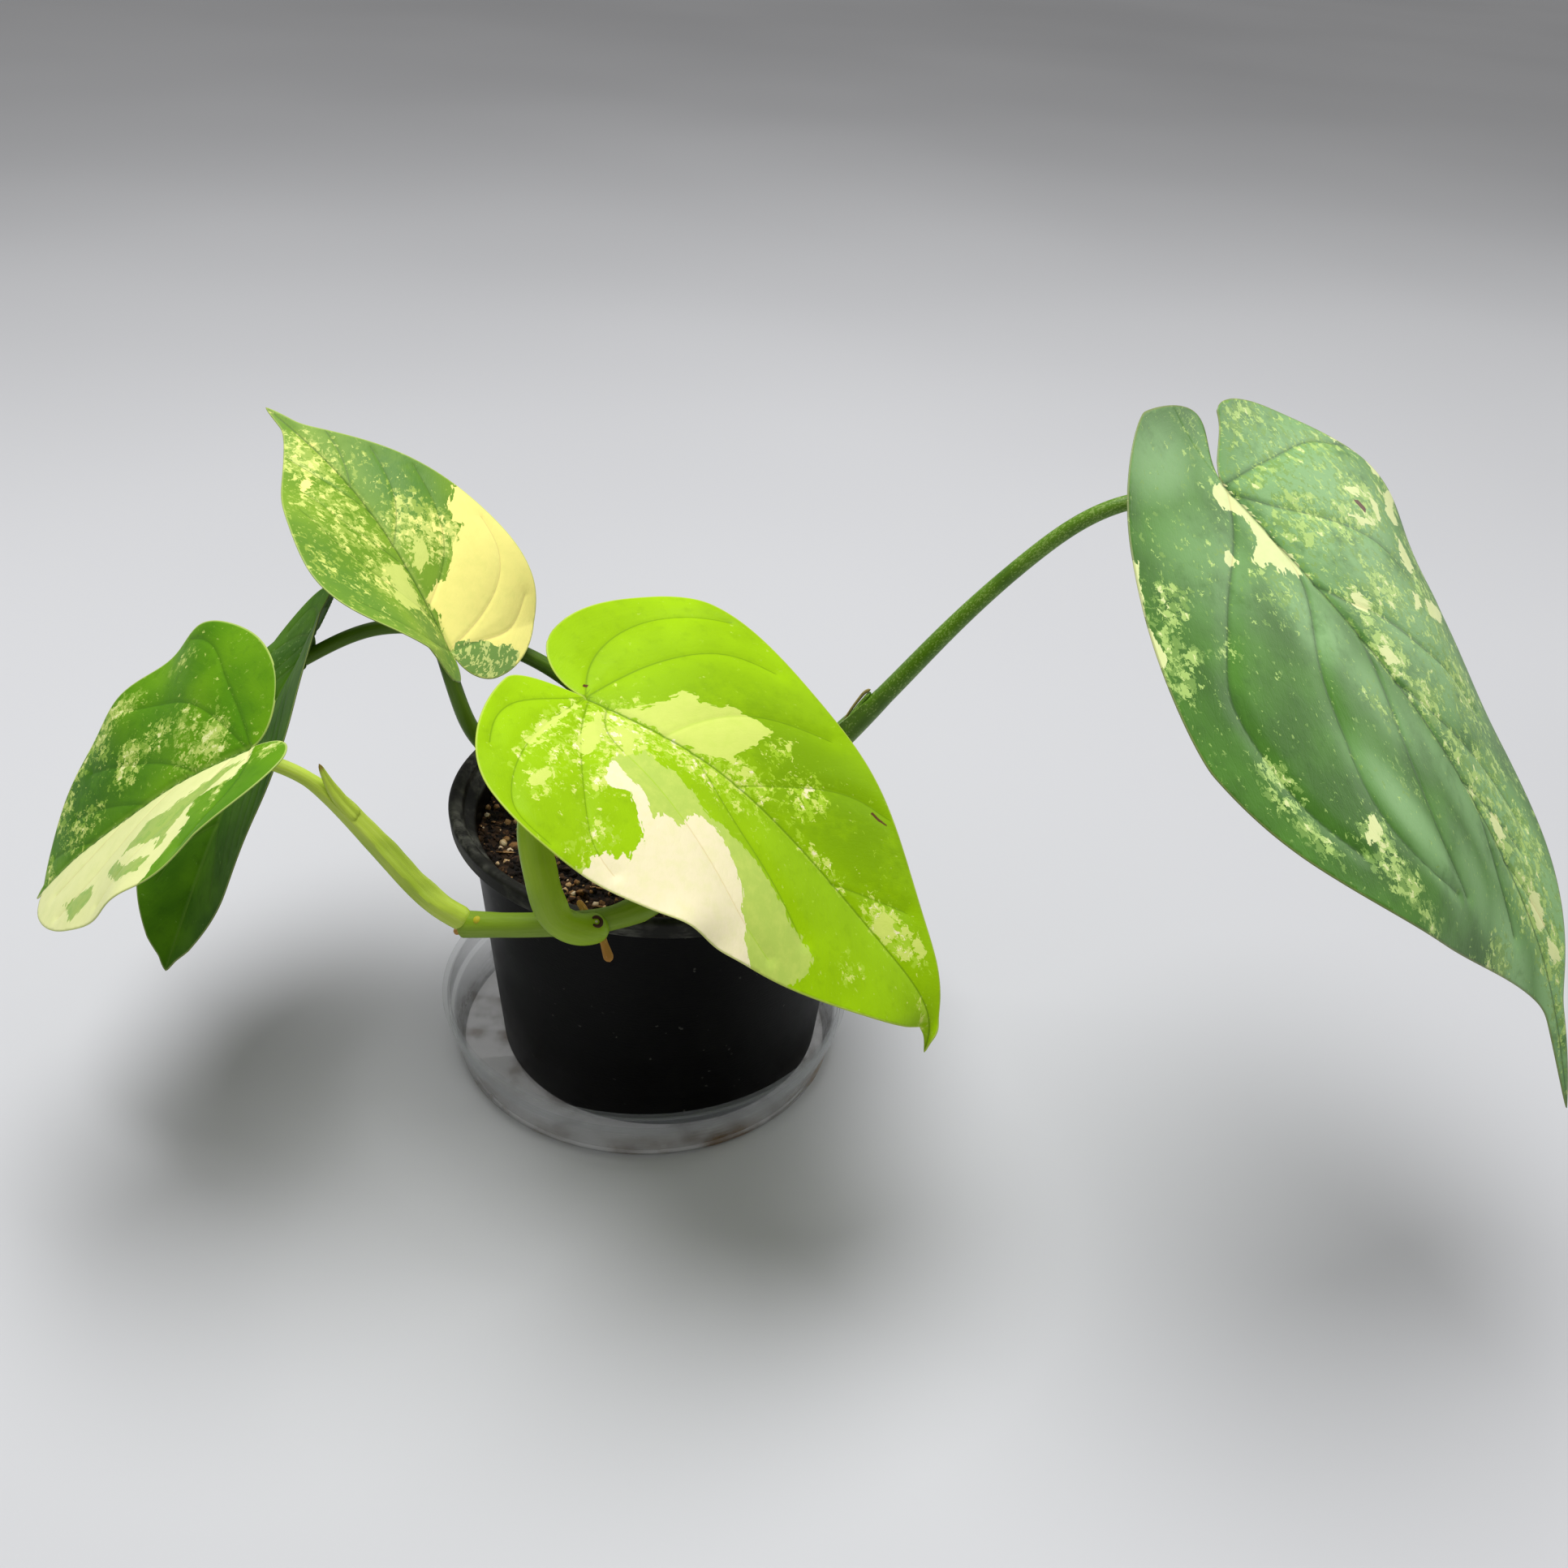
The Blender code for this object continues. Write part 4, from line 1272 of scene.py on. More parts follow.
@dataclass(frozen=True)
class StalkFinish:
    """Colours and gloss of a stalk, stem or root.

    specks is the share that fine dots cover, and browned the share of the length where dry brown
    starts.
    """

    main: Colour
    shadow: Colour
    edge: Colour
    gloss: float
    speck: Colour = (0.0, 0.0, 0.0)
    specks: float = 0.0
    grain: float = 0.3
    browned: float = 2.0

    BROWN = screen(128, 88, 40)

    def material(self, name: str) -> Material:
        """Make the material, which reads the way along and around the piece.

        Args:
            name: Its name.

        Returns:
            The material.
        """
        g = ShaderGraph(name)
        spot = g.object_place()
        turn = g.attribute("around") * math.tau
        along = g.attribute("distance")
        ring = (turn.sine() * 3, turn.cosine() * 3)
        stripes = g.noise(g.join(along * 0.04, *ring), 1.3, 3, 0.6)
        threads = g.noise(g.join(along * 0.12, *ring), 4.0, 2)
        lumps = g.noise(spot, 0.04, 2)
        colour = g.mix(lumps.between(0.25, 0.55), self.shadow, self.main)
        colour = g.mix(stripes.between(0.45, 0.75) * 0.25, colour, self.edge)
        colour = g.mix(threads.between(0.45, 0.75) * 0.15, colour, self.shadow)
        colour = g.mix(g.attribute("lip") * 0.6, colour, self.edge)
        crumbs = g.cells(g.join(along * 2.4, turn.sine() * 8, turn.cosine() * 8), 1.0)
        dots = (self.specks * lumps.between(0.3, 0.6) - crumbs).between(0, 0.04)
        colour = g.mix(dots * 0.55, colour, self.speck)
        dry = (g.attribute("share") + (threads - 0.5) * 0.2).between(self.browned, self.browned + 0.1)
        colour = g.mix(dry * 0.85, colour, self.BROWN)
        relief = g.bump(threads * 0.5 + g.noise(spot, 2.5, 2) * self.grain, 0.1)
        rough = self.gloss + (lumps - 0.5) * 0.15
        return g.finish(colour, rough, 0.35, relief)


@dataclass
class Stalk:
    """A stalk, stem or root: path, radii by share of its length, and sheath.

    sheath is (start, end, height), with start and end as shares of the length and height as a share
    of the radius, and groove is the side that the sheath opens to.
    """

    name: str
    path: tuple[Point, ...]
    radii: tuple[Point, ...]
    finish: StalkFinish
    sheath: Point = (0.0, 0.0, 0.0)
    groove: Point = (0.0, 0.0, 1.0)
    flat: float = 0.0
    round_end: bool = False
    sides: int = 40

    RING_GAP = 0.8
    FEWEST_RINGS = 24
    ROUNDING = 0.9
    LIP_RISE, LIP_FALL, LIP_GAIN = 0.15, 0.05, 1.5
    CORNER = 50

    def build(self, recipe: SweepRecipe) -> Object:
        """Sweep the stalk.

        Args:
            recipe: The tree that sweeps it.

        Returns:
            The stalk.
        """
        curve = Spline(self.path)
        rings = max(int(curve.length / self.RING_GAP), self.FEWEST_RINGS)
        share = np.linspace(0, 1, rings + 1)
        distance = share * curve.length
        points, along = curve.at(distance), curve.along(distance)
        radius = np.interp(share, *zip(*self.radii))
        for away in (distance, curve.length - distance)[: 2 if self.round_end else 1]:
            left = np.clip(away / max(radius.max() * self.ROUNDING, 0.5), 0, 1)
            radius = radius * np.sqrt(np.clip(1 - (1 - left) ** 2, 0.02, 1))
        start, end, height = self.sheath
        inside = np.clip((share - start) / max(end - start, 1e-6), 0, 1)
        wavy = 1 + 0.25 * np.sin(inside * 17) + 0.1 * np.sin(inside * 41)
        lips = np.minimum(np.minimum(inside / self.LIP_RISE, 1), (1 - inside) / self.LIP_FALL)
        lips = lips * wavy * height * self.LIP_GAIN
        groove = np.array(self.groove, dtype=float)
        groove = unit(groove - along * (along @ groove)[:, None])
        guide = line_mesh(self.name, points * MM, radius=radius * MM, sheath=np.clip(lips, 0, 1),
                          groove=groove, distance=distance, share=share,
                          flat=np.full(len(share), self.flat), lip=np.clip(lips * 1.5, 0, 1) * 0.5)
        piece = recipe.run(self.name, guide, self.finish.material(self.name), Sides=self.sides)
        face_outwards(piece.data)
        soften(piece.data, self.CORNER)
        return piece


@dataclass(frozen=True)
class PlasticFinish:
    """Black moulded plastic with scuffs and dust."""

    main: Colour
    scuff: Colour
    lip_from: float
    gloss: float

    def material(self, name: str) -> Material:
        """Make the material.

        Args:
            name: Its name.

        Returns:
            The material.
        """
        g = ShaderGraph(name)
        spot = g.object_place()
        x, y, z = g.parts(spot)
        smudge = g.noise(spot, 0.05, 4, 0.6)
        turn = g.attribute("turn")
        rings = g.noise(g.join(turn * 40, z * 2.5, 0.0), 1.0, 3, 0.6)
        scratch = g.noise(g.join(turn * 60, z * 0.6, (x + y) * 0.05), 1.0, 4, 0.7)
        high = z.between(self.lip_from, self.lip_from + 3)
        rub = high * smudge.between(0.4, 0.62) * scratch.between(0.35, 0.62)
        motes = (0.003 - g.cells(spot, 1.6)).between(0, 0.002)
        colour = g.mix(rub * 0.75, self.main, self.scuff)
        colour = g.mix(high * 0.10, colour, self.scuff)
        colour = g.mix(smudge.between(0.5, 0.8) * 0.02, colour, self.scuff)
        colour = g.mix(motes * 0.3, colour, self.scuff)
        relief = g.bump(rings * 0.5 + g.noise(spot, 1.5, 3) * 0.5, 0.08)
        rough = self.gloss + smudge * 0.25 + rub * 0.25
        return g.finish(colour, rough, 0.08, relief)


@dataclass(frozen=True)
class ClearFinish:
    """Clear thin plastic with dried residue at its bottom."""

    tint: Colour
    stain: Colour

    def material(self, name: str) -> Material:
        """Make the material.

        Args:
            name: Its name.

        Returns:
            The material.
        """
        g = ShaderGraph(name)
        spot = g.object_place()
        z = g.parts(spot)[2]
        facing = g.add("ShaderNodeLayerWeight", None, {"Blend": 0.35}).out("Facing")
        cloud = g.noise(spot, 0.05, 4, 0.65)
        ring = g.noise(g.join(g.attribute("turn") * 30, z * 0.6), 1.0, 3)
        stain = (0.25 + cloud.between(0.42, 0.7)) * (1 - z.between(2.0, 12.0)) * ring.between(0.2, 0.6)
        colour = g.mix(stain, self.tint, self.stain)
        alpha = 0.08 + facing * facing * 0.75 + stain * 0.4 + cloud.between(0.5, 0.9) * 0.05
        relief = g.bump(g.noise(spot, 0.12, 2), 0.25)
        return g.finish(colour, 0.12 + stain * 0.4, 0.6, relief, alpha.least(1))


@dataclass(frozen=True)
class CrumbFinish:
    """Colours of the crumbs of one kind."""

    dark: Colour
    middle: Colour
    light: Colour
    gloss: float
    scale: float = 0.35

    def material(self, name: str) -> Material:
        """Make the material.

        Args:
            name: Its name.

        Returns:
            The material.
        """
        g = ShaderGraph(name)
        spot = g.object_place()
        patch = g.cells(spot, self.scale)
        grain = g.noise(spot, 1.6, 4, 0.65)
        colour = g.ramp(patch * 0.6 + grain * 0.5, (0.25, self.dark), (0.6, self.middle), (0.9, self.light))
        relief = g.bump(grain, 0.3)
        rough = self.gloss + (grain - 0.5) * 0.1
        return g.finish(colour, rough, 0.25, relief)


def rounded(profile: tuple[Point, ...], radius: float, steps: int = 4) -> Array:
    """Open profile with its corners rounded.

    Args:
        profile: Corners as (radius from the axis, height), in mm.
        radius: Rounding in mm, less where a side is short.
        steps: Points along each rounding, less one.

    Returns:
        The rounded profile's points.
    """
    corners = np.array(profile, dtype=float)
    made = [corners[0]]
    for before, corner, after in zip(corners, corners[1:], corners[2:]):
        before, after = before - corner, after - corner
        cut = min(radius, np.linalg.norm(before) * 0.45, np.linalg.norm(after) * 0.45)
        start, end = corner + unit(before) * cut, corner + unit(after) * cut
        for share in np.linspace(0, 1, steps + 1):
            made.append((1 - share) ** 2 * start + 2 * share * (1 - share) * corner + share**2 * end)
    return np.array([*made, corners[-1]])


@dataclass
class Pot:
    """Tapered nursery pot with a thick lip and drain holes."""

    foot: float = 1.2
    top: float = 88.5
    lip_radius: float = 63.5
    lip_depth: float = 6.0
    lip_width: float = 4.2
    foot_radius: float = 49.6
    shoulder_radius: float = 57.3
    wall: float = 1.4
    floor_rise: float = 3.0
    drains: int = 6
    drain_radius: float = 5.0
    drain_circle: float = 36.0
    finish: PlasticFinish = PlasticFinish(screen(2, 2, 2), screen(104, 104, 96), 80.5, 0.3)

    SEGMENTS = 192
    CORNER = 35

    def wall_at(self, height: float) -> float:
        """Outer radius of the wall at a height."""
        shoulder = self.top - self.lip_depth
        flare = self.shoulder_radius - self.foot_radius
        return self.foot_radius + flare * (height - self.foot) / (shoulder - self.foot)

    def build(self, recipe: TurnRecipe) -> Object:
        """Turn the pot and cut its drain holes.

        Args:
            recipe: The tree that turns it.

        Returns:
            The pot.
        """
        shoulder = self.top - self.lip_depth
        inner = self.lip_radius - self.lip_width
        floor = self.foot + self.floor_rise
        profile = (
            (0, floor), (self.foot_radius - self.wall - 1, floor),
            (self.shoulder_radius - self.wall, shoulder), (inner, shoulder + 2),
            (inner, self.top - 1.4), (inner + 1, self.top - 0.5),
            (self.lip_radius - 1.6, self.top), (self.lip_radius, self.top - 0.8),
            (self.lip_radius - 0.4, shoulder + 0.6), (self.lip_radius - 1, shoulder),
            (self.shoulder_radius, shoulder), (self.foot_radius + 0.4, self.foot + 2),
            (self.foot_radius - 1, self.foot), (self.foot_radius - 7, self.foot),
            (self.foot_radius - 9, floor - self.wall), (0, floor - self.wall),
        )
        guide = profile_mesh("pot", rounded(profile, 0.9))
        finish = self.finish.material("black_plastic")
        pot = recipe.run("pot_body", guide, finish, Segments=self.SEGMENTS, Lump=0.0)
        face_outwards(pot.data)
        self.drill(pot, floor)
        soften(pot.data, self.CORNER)
        return pot

    def drill(self, pot: Object, floor: float) -> None:
        """Cut the drain holes.

        Args:
            pot: The pot.
            floor: Its floor's height.
        """
        for index in range(self.drains):
            turn = math.tau * index / self.drains
            bm = bmesh.new()
            bmesh.ops.create_cone(bm, cap_ends=True, segments=32, radius1=self.drain_radius * MM,
                                  radius2=self.drain_radius * MM, depth=3 * self.floor_rise * MM)
            middle = Vector((math.cos(turn) * self.drain_circle, math.sin(turn) * self.drain_circle, floor))
            bmesh.ops.translate(bm, verts=bm.verts, vec=middle * MM)
            mesh = bpy.data.meshes.new("drain")
            bm.to_mesh(mesh)
            bm.free()
            drill = linked("drain", mesh)
            step = pot.modifiers.new("Drain", "BOOLEAN")
            step.object = drill
            step.solver = "EXACT"
            bake(pot)
            bpy.data.objects.remove(drill)


@dataclass
class Saucer:
    """Thin clear tray with a stepped wall and an outward lip."""

    centre: Point = (-4.6, -1.9)
    skin: float = 0.6
    base: float = 58.8
    wall: float = 62.2
    step: float = 12.0
    lip: float = 64.0
    top: float = 19.6
    finish: ClearFinish = ClearFinish(screen(178, 182, 184), screen(116, 92, 60))

    SEGMENTS = 192
    CORNER = 35

    def build(self, recipe: TurnRecipe) -> Object:
        """Turn the saucer.

        Args:
            recipe: The tree that turns it.

        Returns:
            The saucer.
        """
        skin, step, wall, foot, top = self.skin, self.step, self.wall, self.base, self.top
        ledge = wall - 1.6
        profile = (
            (0, skin), (foot - 1.2 - skin, skin), (foot - skin, 2.0), (ledge - skin, step + skin),
            (wall - skin, step + skin), (wall - skin, top), (self.lip - 0.2, top), (self.lip, top - 0.3),
            (self.lip - 0.2, top - skin), (wall + 0.2, top - skin - 0.2), (wall, step), (ledge, step),
            (foot + 0.6, 1.2), (foot - 0.8, 0), (0, 0),
        )
        centre = (self.centre[0] * MM, self.centre[1] * MM, 0.0)
        guide = profile_mesh("saucer", rounded(profile, 0.35))
        finish = self.finish.material("clear_plastic")
        saucer = recipe.run("saucer_tray", guide, finish, Segments=self.SEGMENTS, Lump=0.0, Centre=centre)
        face_outwards(saucer.data)
        soften(saucer.data, self.CORNER)
        return saucer


@dataclass(frozen=True)
class Crumbs:
    """One kind of loose bit on the soil.

    density is how many there are in a square metre at most, and apart how close two come. Bits are
    shape times a size from smallest to largest, and ragged, tilt and sink say how uneven they are,
    how far they lean, in radians, and how deep they lie. Lengths are in mm.
    """

    name: str
    density: float
    apart: float
    smallest: float
    largest: float
    shape: Point
    ragged: float
    tilt: float
    detail: int
    seed: int
    sink: float
    finish: CrumbFinish

    CORNER = 60

    def strew(self, scatter: ScatterRecipe, ground: Mesh, above: float) -> Object:
        """Strew the bits over what of the ground lies above a height in mm.

        Args:
            scatter: The tree that strews them.
            ground: The ground.
            above: The height.

        Returns:
            The bits, as one piece.
        """
        lengths = {"Apart": self.apart, "Above": above, "Smallest": self.smallest, "Largest": self.largest,
                   "Sink": self.sink, "Ragged": self.ragged}
        lengths = {label: length * MM for label, length in lengths.items()}
        bits = scatter.run(self.name, ground, self.finish.material(self.name), Density=self.density,
                           Seed=self.seed, Shape=self.shape, Tilt=self.tilt, Detail=self.detail, **lengths)
        bits.data.set_sharp_from_angle(angle=math.radians(self.CORNER))
        return bits


PEAT = Crumbs("soil_peat", density=7.0e5, apart=1.0, smallest=0.5, largest=1.6, shape=(1.0, 0.75, 0.55),
              ragged=1.0, tilt=3.0, detail=1, seed=3, sink=0.2,
              finish=CrumbFinish(screen(16, 11, 7), screen(36, 24, 14), screen(92, 64, 38), 0.9))
BARK = Crumbs("soil_bark", density=4.0e4, apart=3.0, smallest=1.2, largest=3.6, shape=(1.0, 0.55, 0.28),
              ragged=1.4, tilt=1.6, detail=2, seed=11, sink=0.0,
              finish=CrumbFinish(screen(26, 17, 10), screen(66, 44, 26), screen(150, 110, 66), 0.85))
GRIT = Crumbs("soil_grit", density=9.0e4, apart=2.2, smallest=0.3, largest=1.5, shape=(1.0, 0.85, 0.8),
              ragged=0.9, tilt=3.0, detail=1, seed=23, sink=-0.2,
              finish=CrumbFinish(screen(120, 84, 46), screen(186, 150, 100), screen(236, 218, 188), 0.8))
BEADS = Crumbs("soil_beads", density=1.0e4, apart=5.0, smallest=0.7, largest=1.8, shape=(1.0, 0.9, 0.8),
               ragged=0.7, tilt=3.0, detail=2, seed=51, sink=-0.3,
               finish=CrumbFinish(screen(150, 118, 74), screen(204, 176, 128), screen(236, 222, 186), 0.75))
FIBRE = Crumbs("soil_fibre", density=1.6e4, apart=3.6, smallest=2.0, largest=5.5, shape=(1.0, 0.07, 0.07),
               ragged=0.9, tilt=1.0, detail=2, seed=37, sink=-0.5,
               finish=CrumbFinish(screen(70, 46, 26), screen(128, 92, 54), screen(190, 152, 104), 0.85))


@dataclass
class Soil:
    """Potting mix: a plug with a lumpy top, covered in loose bits."""

    pot: Pot
    top: float = 76.0
    lump: float = 9.0
    gap: float = 0.3
    rings: int = 70
    finish: CrumbFinish = CrumbFinish(screen(10, 7, 5), screen(26, 18, 12), screen(70, 50, 32), 0.95)
    crumbs: tuple[Crumbs, ...] = (PEAT, BARK, GRIT, BEADS, FIBRE)

    def build(self, turn: TurnRecipe, scatter: ScatterRecipe) -> list[Object]:
        """Make the plug and strew the bits.

        Args:
            turn: The tree that turns the plug.
            scatter: The tree that strews the bits.

        Returns:
            The plug, and the bits of each kind.
        """
        floor = self.pot.foot + self.pot.floor_rise + self.gap
        inset = self.pot.wall + self.gap
        reach = self.pot.wall_at(self.top) - inset
        points = [(0, floor), (self.pot.wall_at(floor) - inset - 1.2, floor), (reach, self.top - 1.5),
                  *((radius, self.top) for radius in np.linspace(reach, 0, self.rings))]
        guide = profile_mesh("soil", np.array(points, dtype=float))
        plug = turn.run("soil_plug", guide, self.finish.material("potting_mix"), Segments=160,
                        Lump=self.lump * MM, Lumps_Above=(self.top - 0.5) * MM, Lump_Scale=110.0)
        face_outwards(plug.data)
        plug.data.shade_smooth()
        return [plug, *(kind.strew(scatter, plug.data, self.top - 6) for kind in self.crumbs)]


# Painted light in each finish: SEA's pale blue-green is a painted sheen, and LIME, FRESH and MEADOW give
# darker greens for painted shade.
LIME = LeafFinish(
    **shades(green=(146, 188, 0), shadow=(122, 160, 0), light=(156, 200, 2), pale=(206, 220, 106),
             sage=(180, 204, 90), cream=(240, 230, 190), deep=(132, 188, 20), rim=(196, 210, 100),
             under=(160, 184, 60), line=(100, 136, 0), bloom=(122, 162, 0)),
    gloss=0.45, shine=0.1, lines=0.6, haze=0.2, blot=(0.5, 0.5))
FRESH = LeafFinish(
    **shades(green=(106, 146, 34), shadow=(84, 126, 28), light=(128, 164, 44), pale=(204, 216, 112),
             sage=(196, 208, 120), cream=(250, 240, 138), deep=(112, 148, 66), rim=(180, 196, 104),
             under=(140, 160, 80), line=(66, 98, 20), bloom=(84, 130, 48)),
    shine=0.2, lines=0.5, haze=0.3, blot=(0.55, 0.45))
MEADOW = LeafFinish(
    **shades(green=(80, 134, 6), shadow=(52, 100, 6), light=(104, 156, 10), pale=(188, 208, 104),
             sage=(150, 184, 84), cream=(232, 236, 164), deep=(164, 190, 92), rim=(196, 210, 120),
             under=(120, 148, 70), line=(56, 98, 4), bloom=(54, 104, 10)),
    shine=0.15, haze=0.3, blot=(0.6, 0.5))
SEA = LeafFinish(
    **shades(green=(58, 106, 16), shadow=(36, 76, 4), light=(76, 130, 30), pale=(176, 208, 110),
             sage=(130, 164, 76), cream=(228, 236, 164), deep=(60, 110, 50), rim=(136, 142, 84),
             under=(104, 130, 74), line=(30, 66, 6), bloom=(134, 180, 112)),
    gloss=0.4, vein=0.5, shine=0.4, specks=0.016, haze=0.35, blot=(0.5, 0.42))
NIGHT = LeafFinish(
    **shades(green=(50, 92, 2), shadow=(28, 58, 0), light=(70, 114, 6), pale=(150, 176, 110),
             sage=(110, 140, 80), cream=(226, 226, 120), deep=(40, 70, 34), rim=(160, 172, 110),
             under=(70, 98, 36), line=(84, 116, 34)),
    gloss=0.52, vein=0.3, shine=0.08, specks=0.002)

CENTRE = Leaf(
    name="leaf_blade_centre",
    midrib=((-16, -51.5, 148), (14.5, -60, 137.5), (42, -70.5, 118), (64, -80.5, 97.5), (75.7, -87, 80.5),
            (75, -88, 72)),
    roll=3, twist=3, lobe_arch=0.009, drip=(8, 2.4), ripple=60,
    left=Half(52, 12, 17, 15, 0.93, 1.58, 1.8, (14, 6), -12, (1.8, -10)),
    right=Half(56.5, 14, 18, 10, 0.75, 1.8, 2.1, (10, 6), -18, (2.3, 80)),
    finish=LIME,
    patches={
        Shade.PALE: drawn(
            "-0.5 9, -5 13.5, -10 17, -16 19.5, -17 23, -15.5 24, -21 32, -22 38, -21.5 42, -15 41, "
            "-11 40.5, -8 39, -5 39.5, -3.6 36.5, -1.5 32, -0.5 28",
            "3 5, 13.5 5, 25 9, 19 11, 8 8", "7 11, 5 14, 13 19, 16 18",
            "29 -3.5, 17 -3.2, 5 -1, 5 0.5, 17 -1.2, 29 -2", "45 4, 43 3.5, 37.5 4, 35 6, 37 7.5, 41 6.8",
            "-1.2 93, -7 93, -8 95.5, -4.5 98, -1 96.5", "-6 104, -10 103, -10 107, -7 108",
        ),
        Shade.SAGE: drawn(
            "56 24, 53.5 27, 50.5 26.5, 46 28.5, 46.5 32, 44 32, 44.5 35, 42 34, 38 35, 35 32, "
            "31.5 28.5, 27.5 24, 26.5 22.5, 29 21.5, 29.5 19.5, 28 17, 24 16, 18 16, 13.5 20, 10 20, "
            "12.5 24.5, 11.5 30, 14 35.5, 17 42, 16.5 51, 16 55, 17 63.5, 19.5 72, 21.5 77, 21 80.5, "
            "22 86, 24 87, 27 88, 31 87.5, 38 85, 60 70, 66 40",
        ),
        Shade.CREAM: drawn(
            "57 26, 53.5 27, 50.5 26.5, 46 28.5, 46.5 32, 44 32, 44.5 35, 42 34, 38 35, 35 32, "
            "31.5 28.5, 27.5 24, 29 21.5, 29.5 19.5, 28 17, 24 16, 21 16.5, 24 21.5, 23.5 25, "
            "25.5 28, 30 33, 27 33.5, 26 40, 22 39.5, 20 40, 19 43, 19 46.5, 21 52, 24 55.5, 26 60, "
            "32 65.5, 33 68, 37 70.5, 39.5 74, 42 78, 60 66, 66 40",
        ),
        Shade.SCAR: drawn(
            "-26.5 73.2, -25.4 73.2, -25.6 76, -26.6 78.4, -27.4 78.6, -26.6 76",
            "-3 -2.6, -4.2 -2.4, -4.4 -1.2, -3.4 -1.1",
        ),
    },
    mottles=spots(
        "9 12 13 10 1, 24 6 10 4 0.6, 22 -2 14 3 0.7, 39 6 7 4 0.5, -3 44 5 9 0.55, -13 58 7 6 0.5, "
        "-5 97 5 9 0.95, 3 30 6 22 0.7, 28 17 7 4 0.75, -1.5 72 2.5 10 0.5, 44 24 5 5 0.45, "
        "-18 46 5 3 0.5, 16 96 5 4 0.3, 2 118 3 6 0.5, 51 30 3 8 0.55, 26 10 20 14 0.1"
    ),
    veins=drawn(
        "0 0, -17 7, -28 14, -37 23, -42 34", "0 0, -9 -3.5, -21 -4, -36 1.7, -44 10, -49 19",
        "0 44, -9 51.5, -19 60, -26 69, -29 78", "0 78, -6 87, -13 97", "0 0, 7 -6, 16 -12, 25 -13, 35 -10",
        "0 0, 24 -3, 36 -2, 45 0.5, 53 6, 55 16", "0 1, 8.5 3, 30 12, 41 19, 47 25, 50 34",
        "0 6, 10 10, 16 20, 23 38, 29 54, 33 67, 34 78", "0 30, 10 46, 16 64, 22 82",
        "0 22, -12 28, -26 40, -35 54",
    ),
    dents=spots("50 57 9 6 1.4, 45 67 9 5 -0.8"),
    # Painted shade over the middle of the left half, and faintly on the right lobe.
    shade_and_sheen_spots=spots("-18 60 20 44 1, 30 -2 24 8 0.2"),
    fill=(0.0, 0.005), groove=0.22, quilt=0.6, sweep=0.9,
)
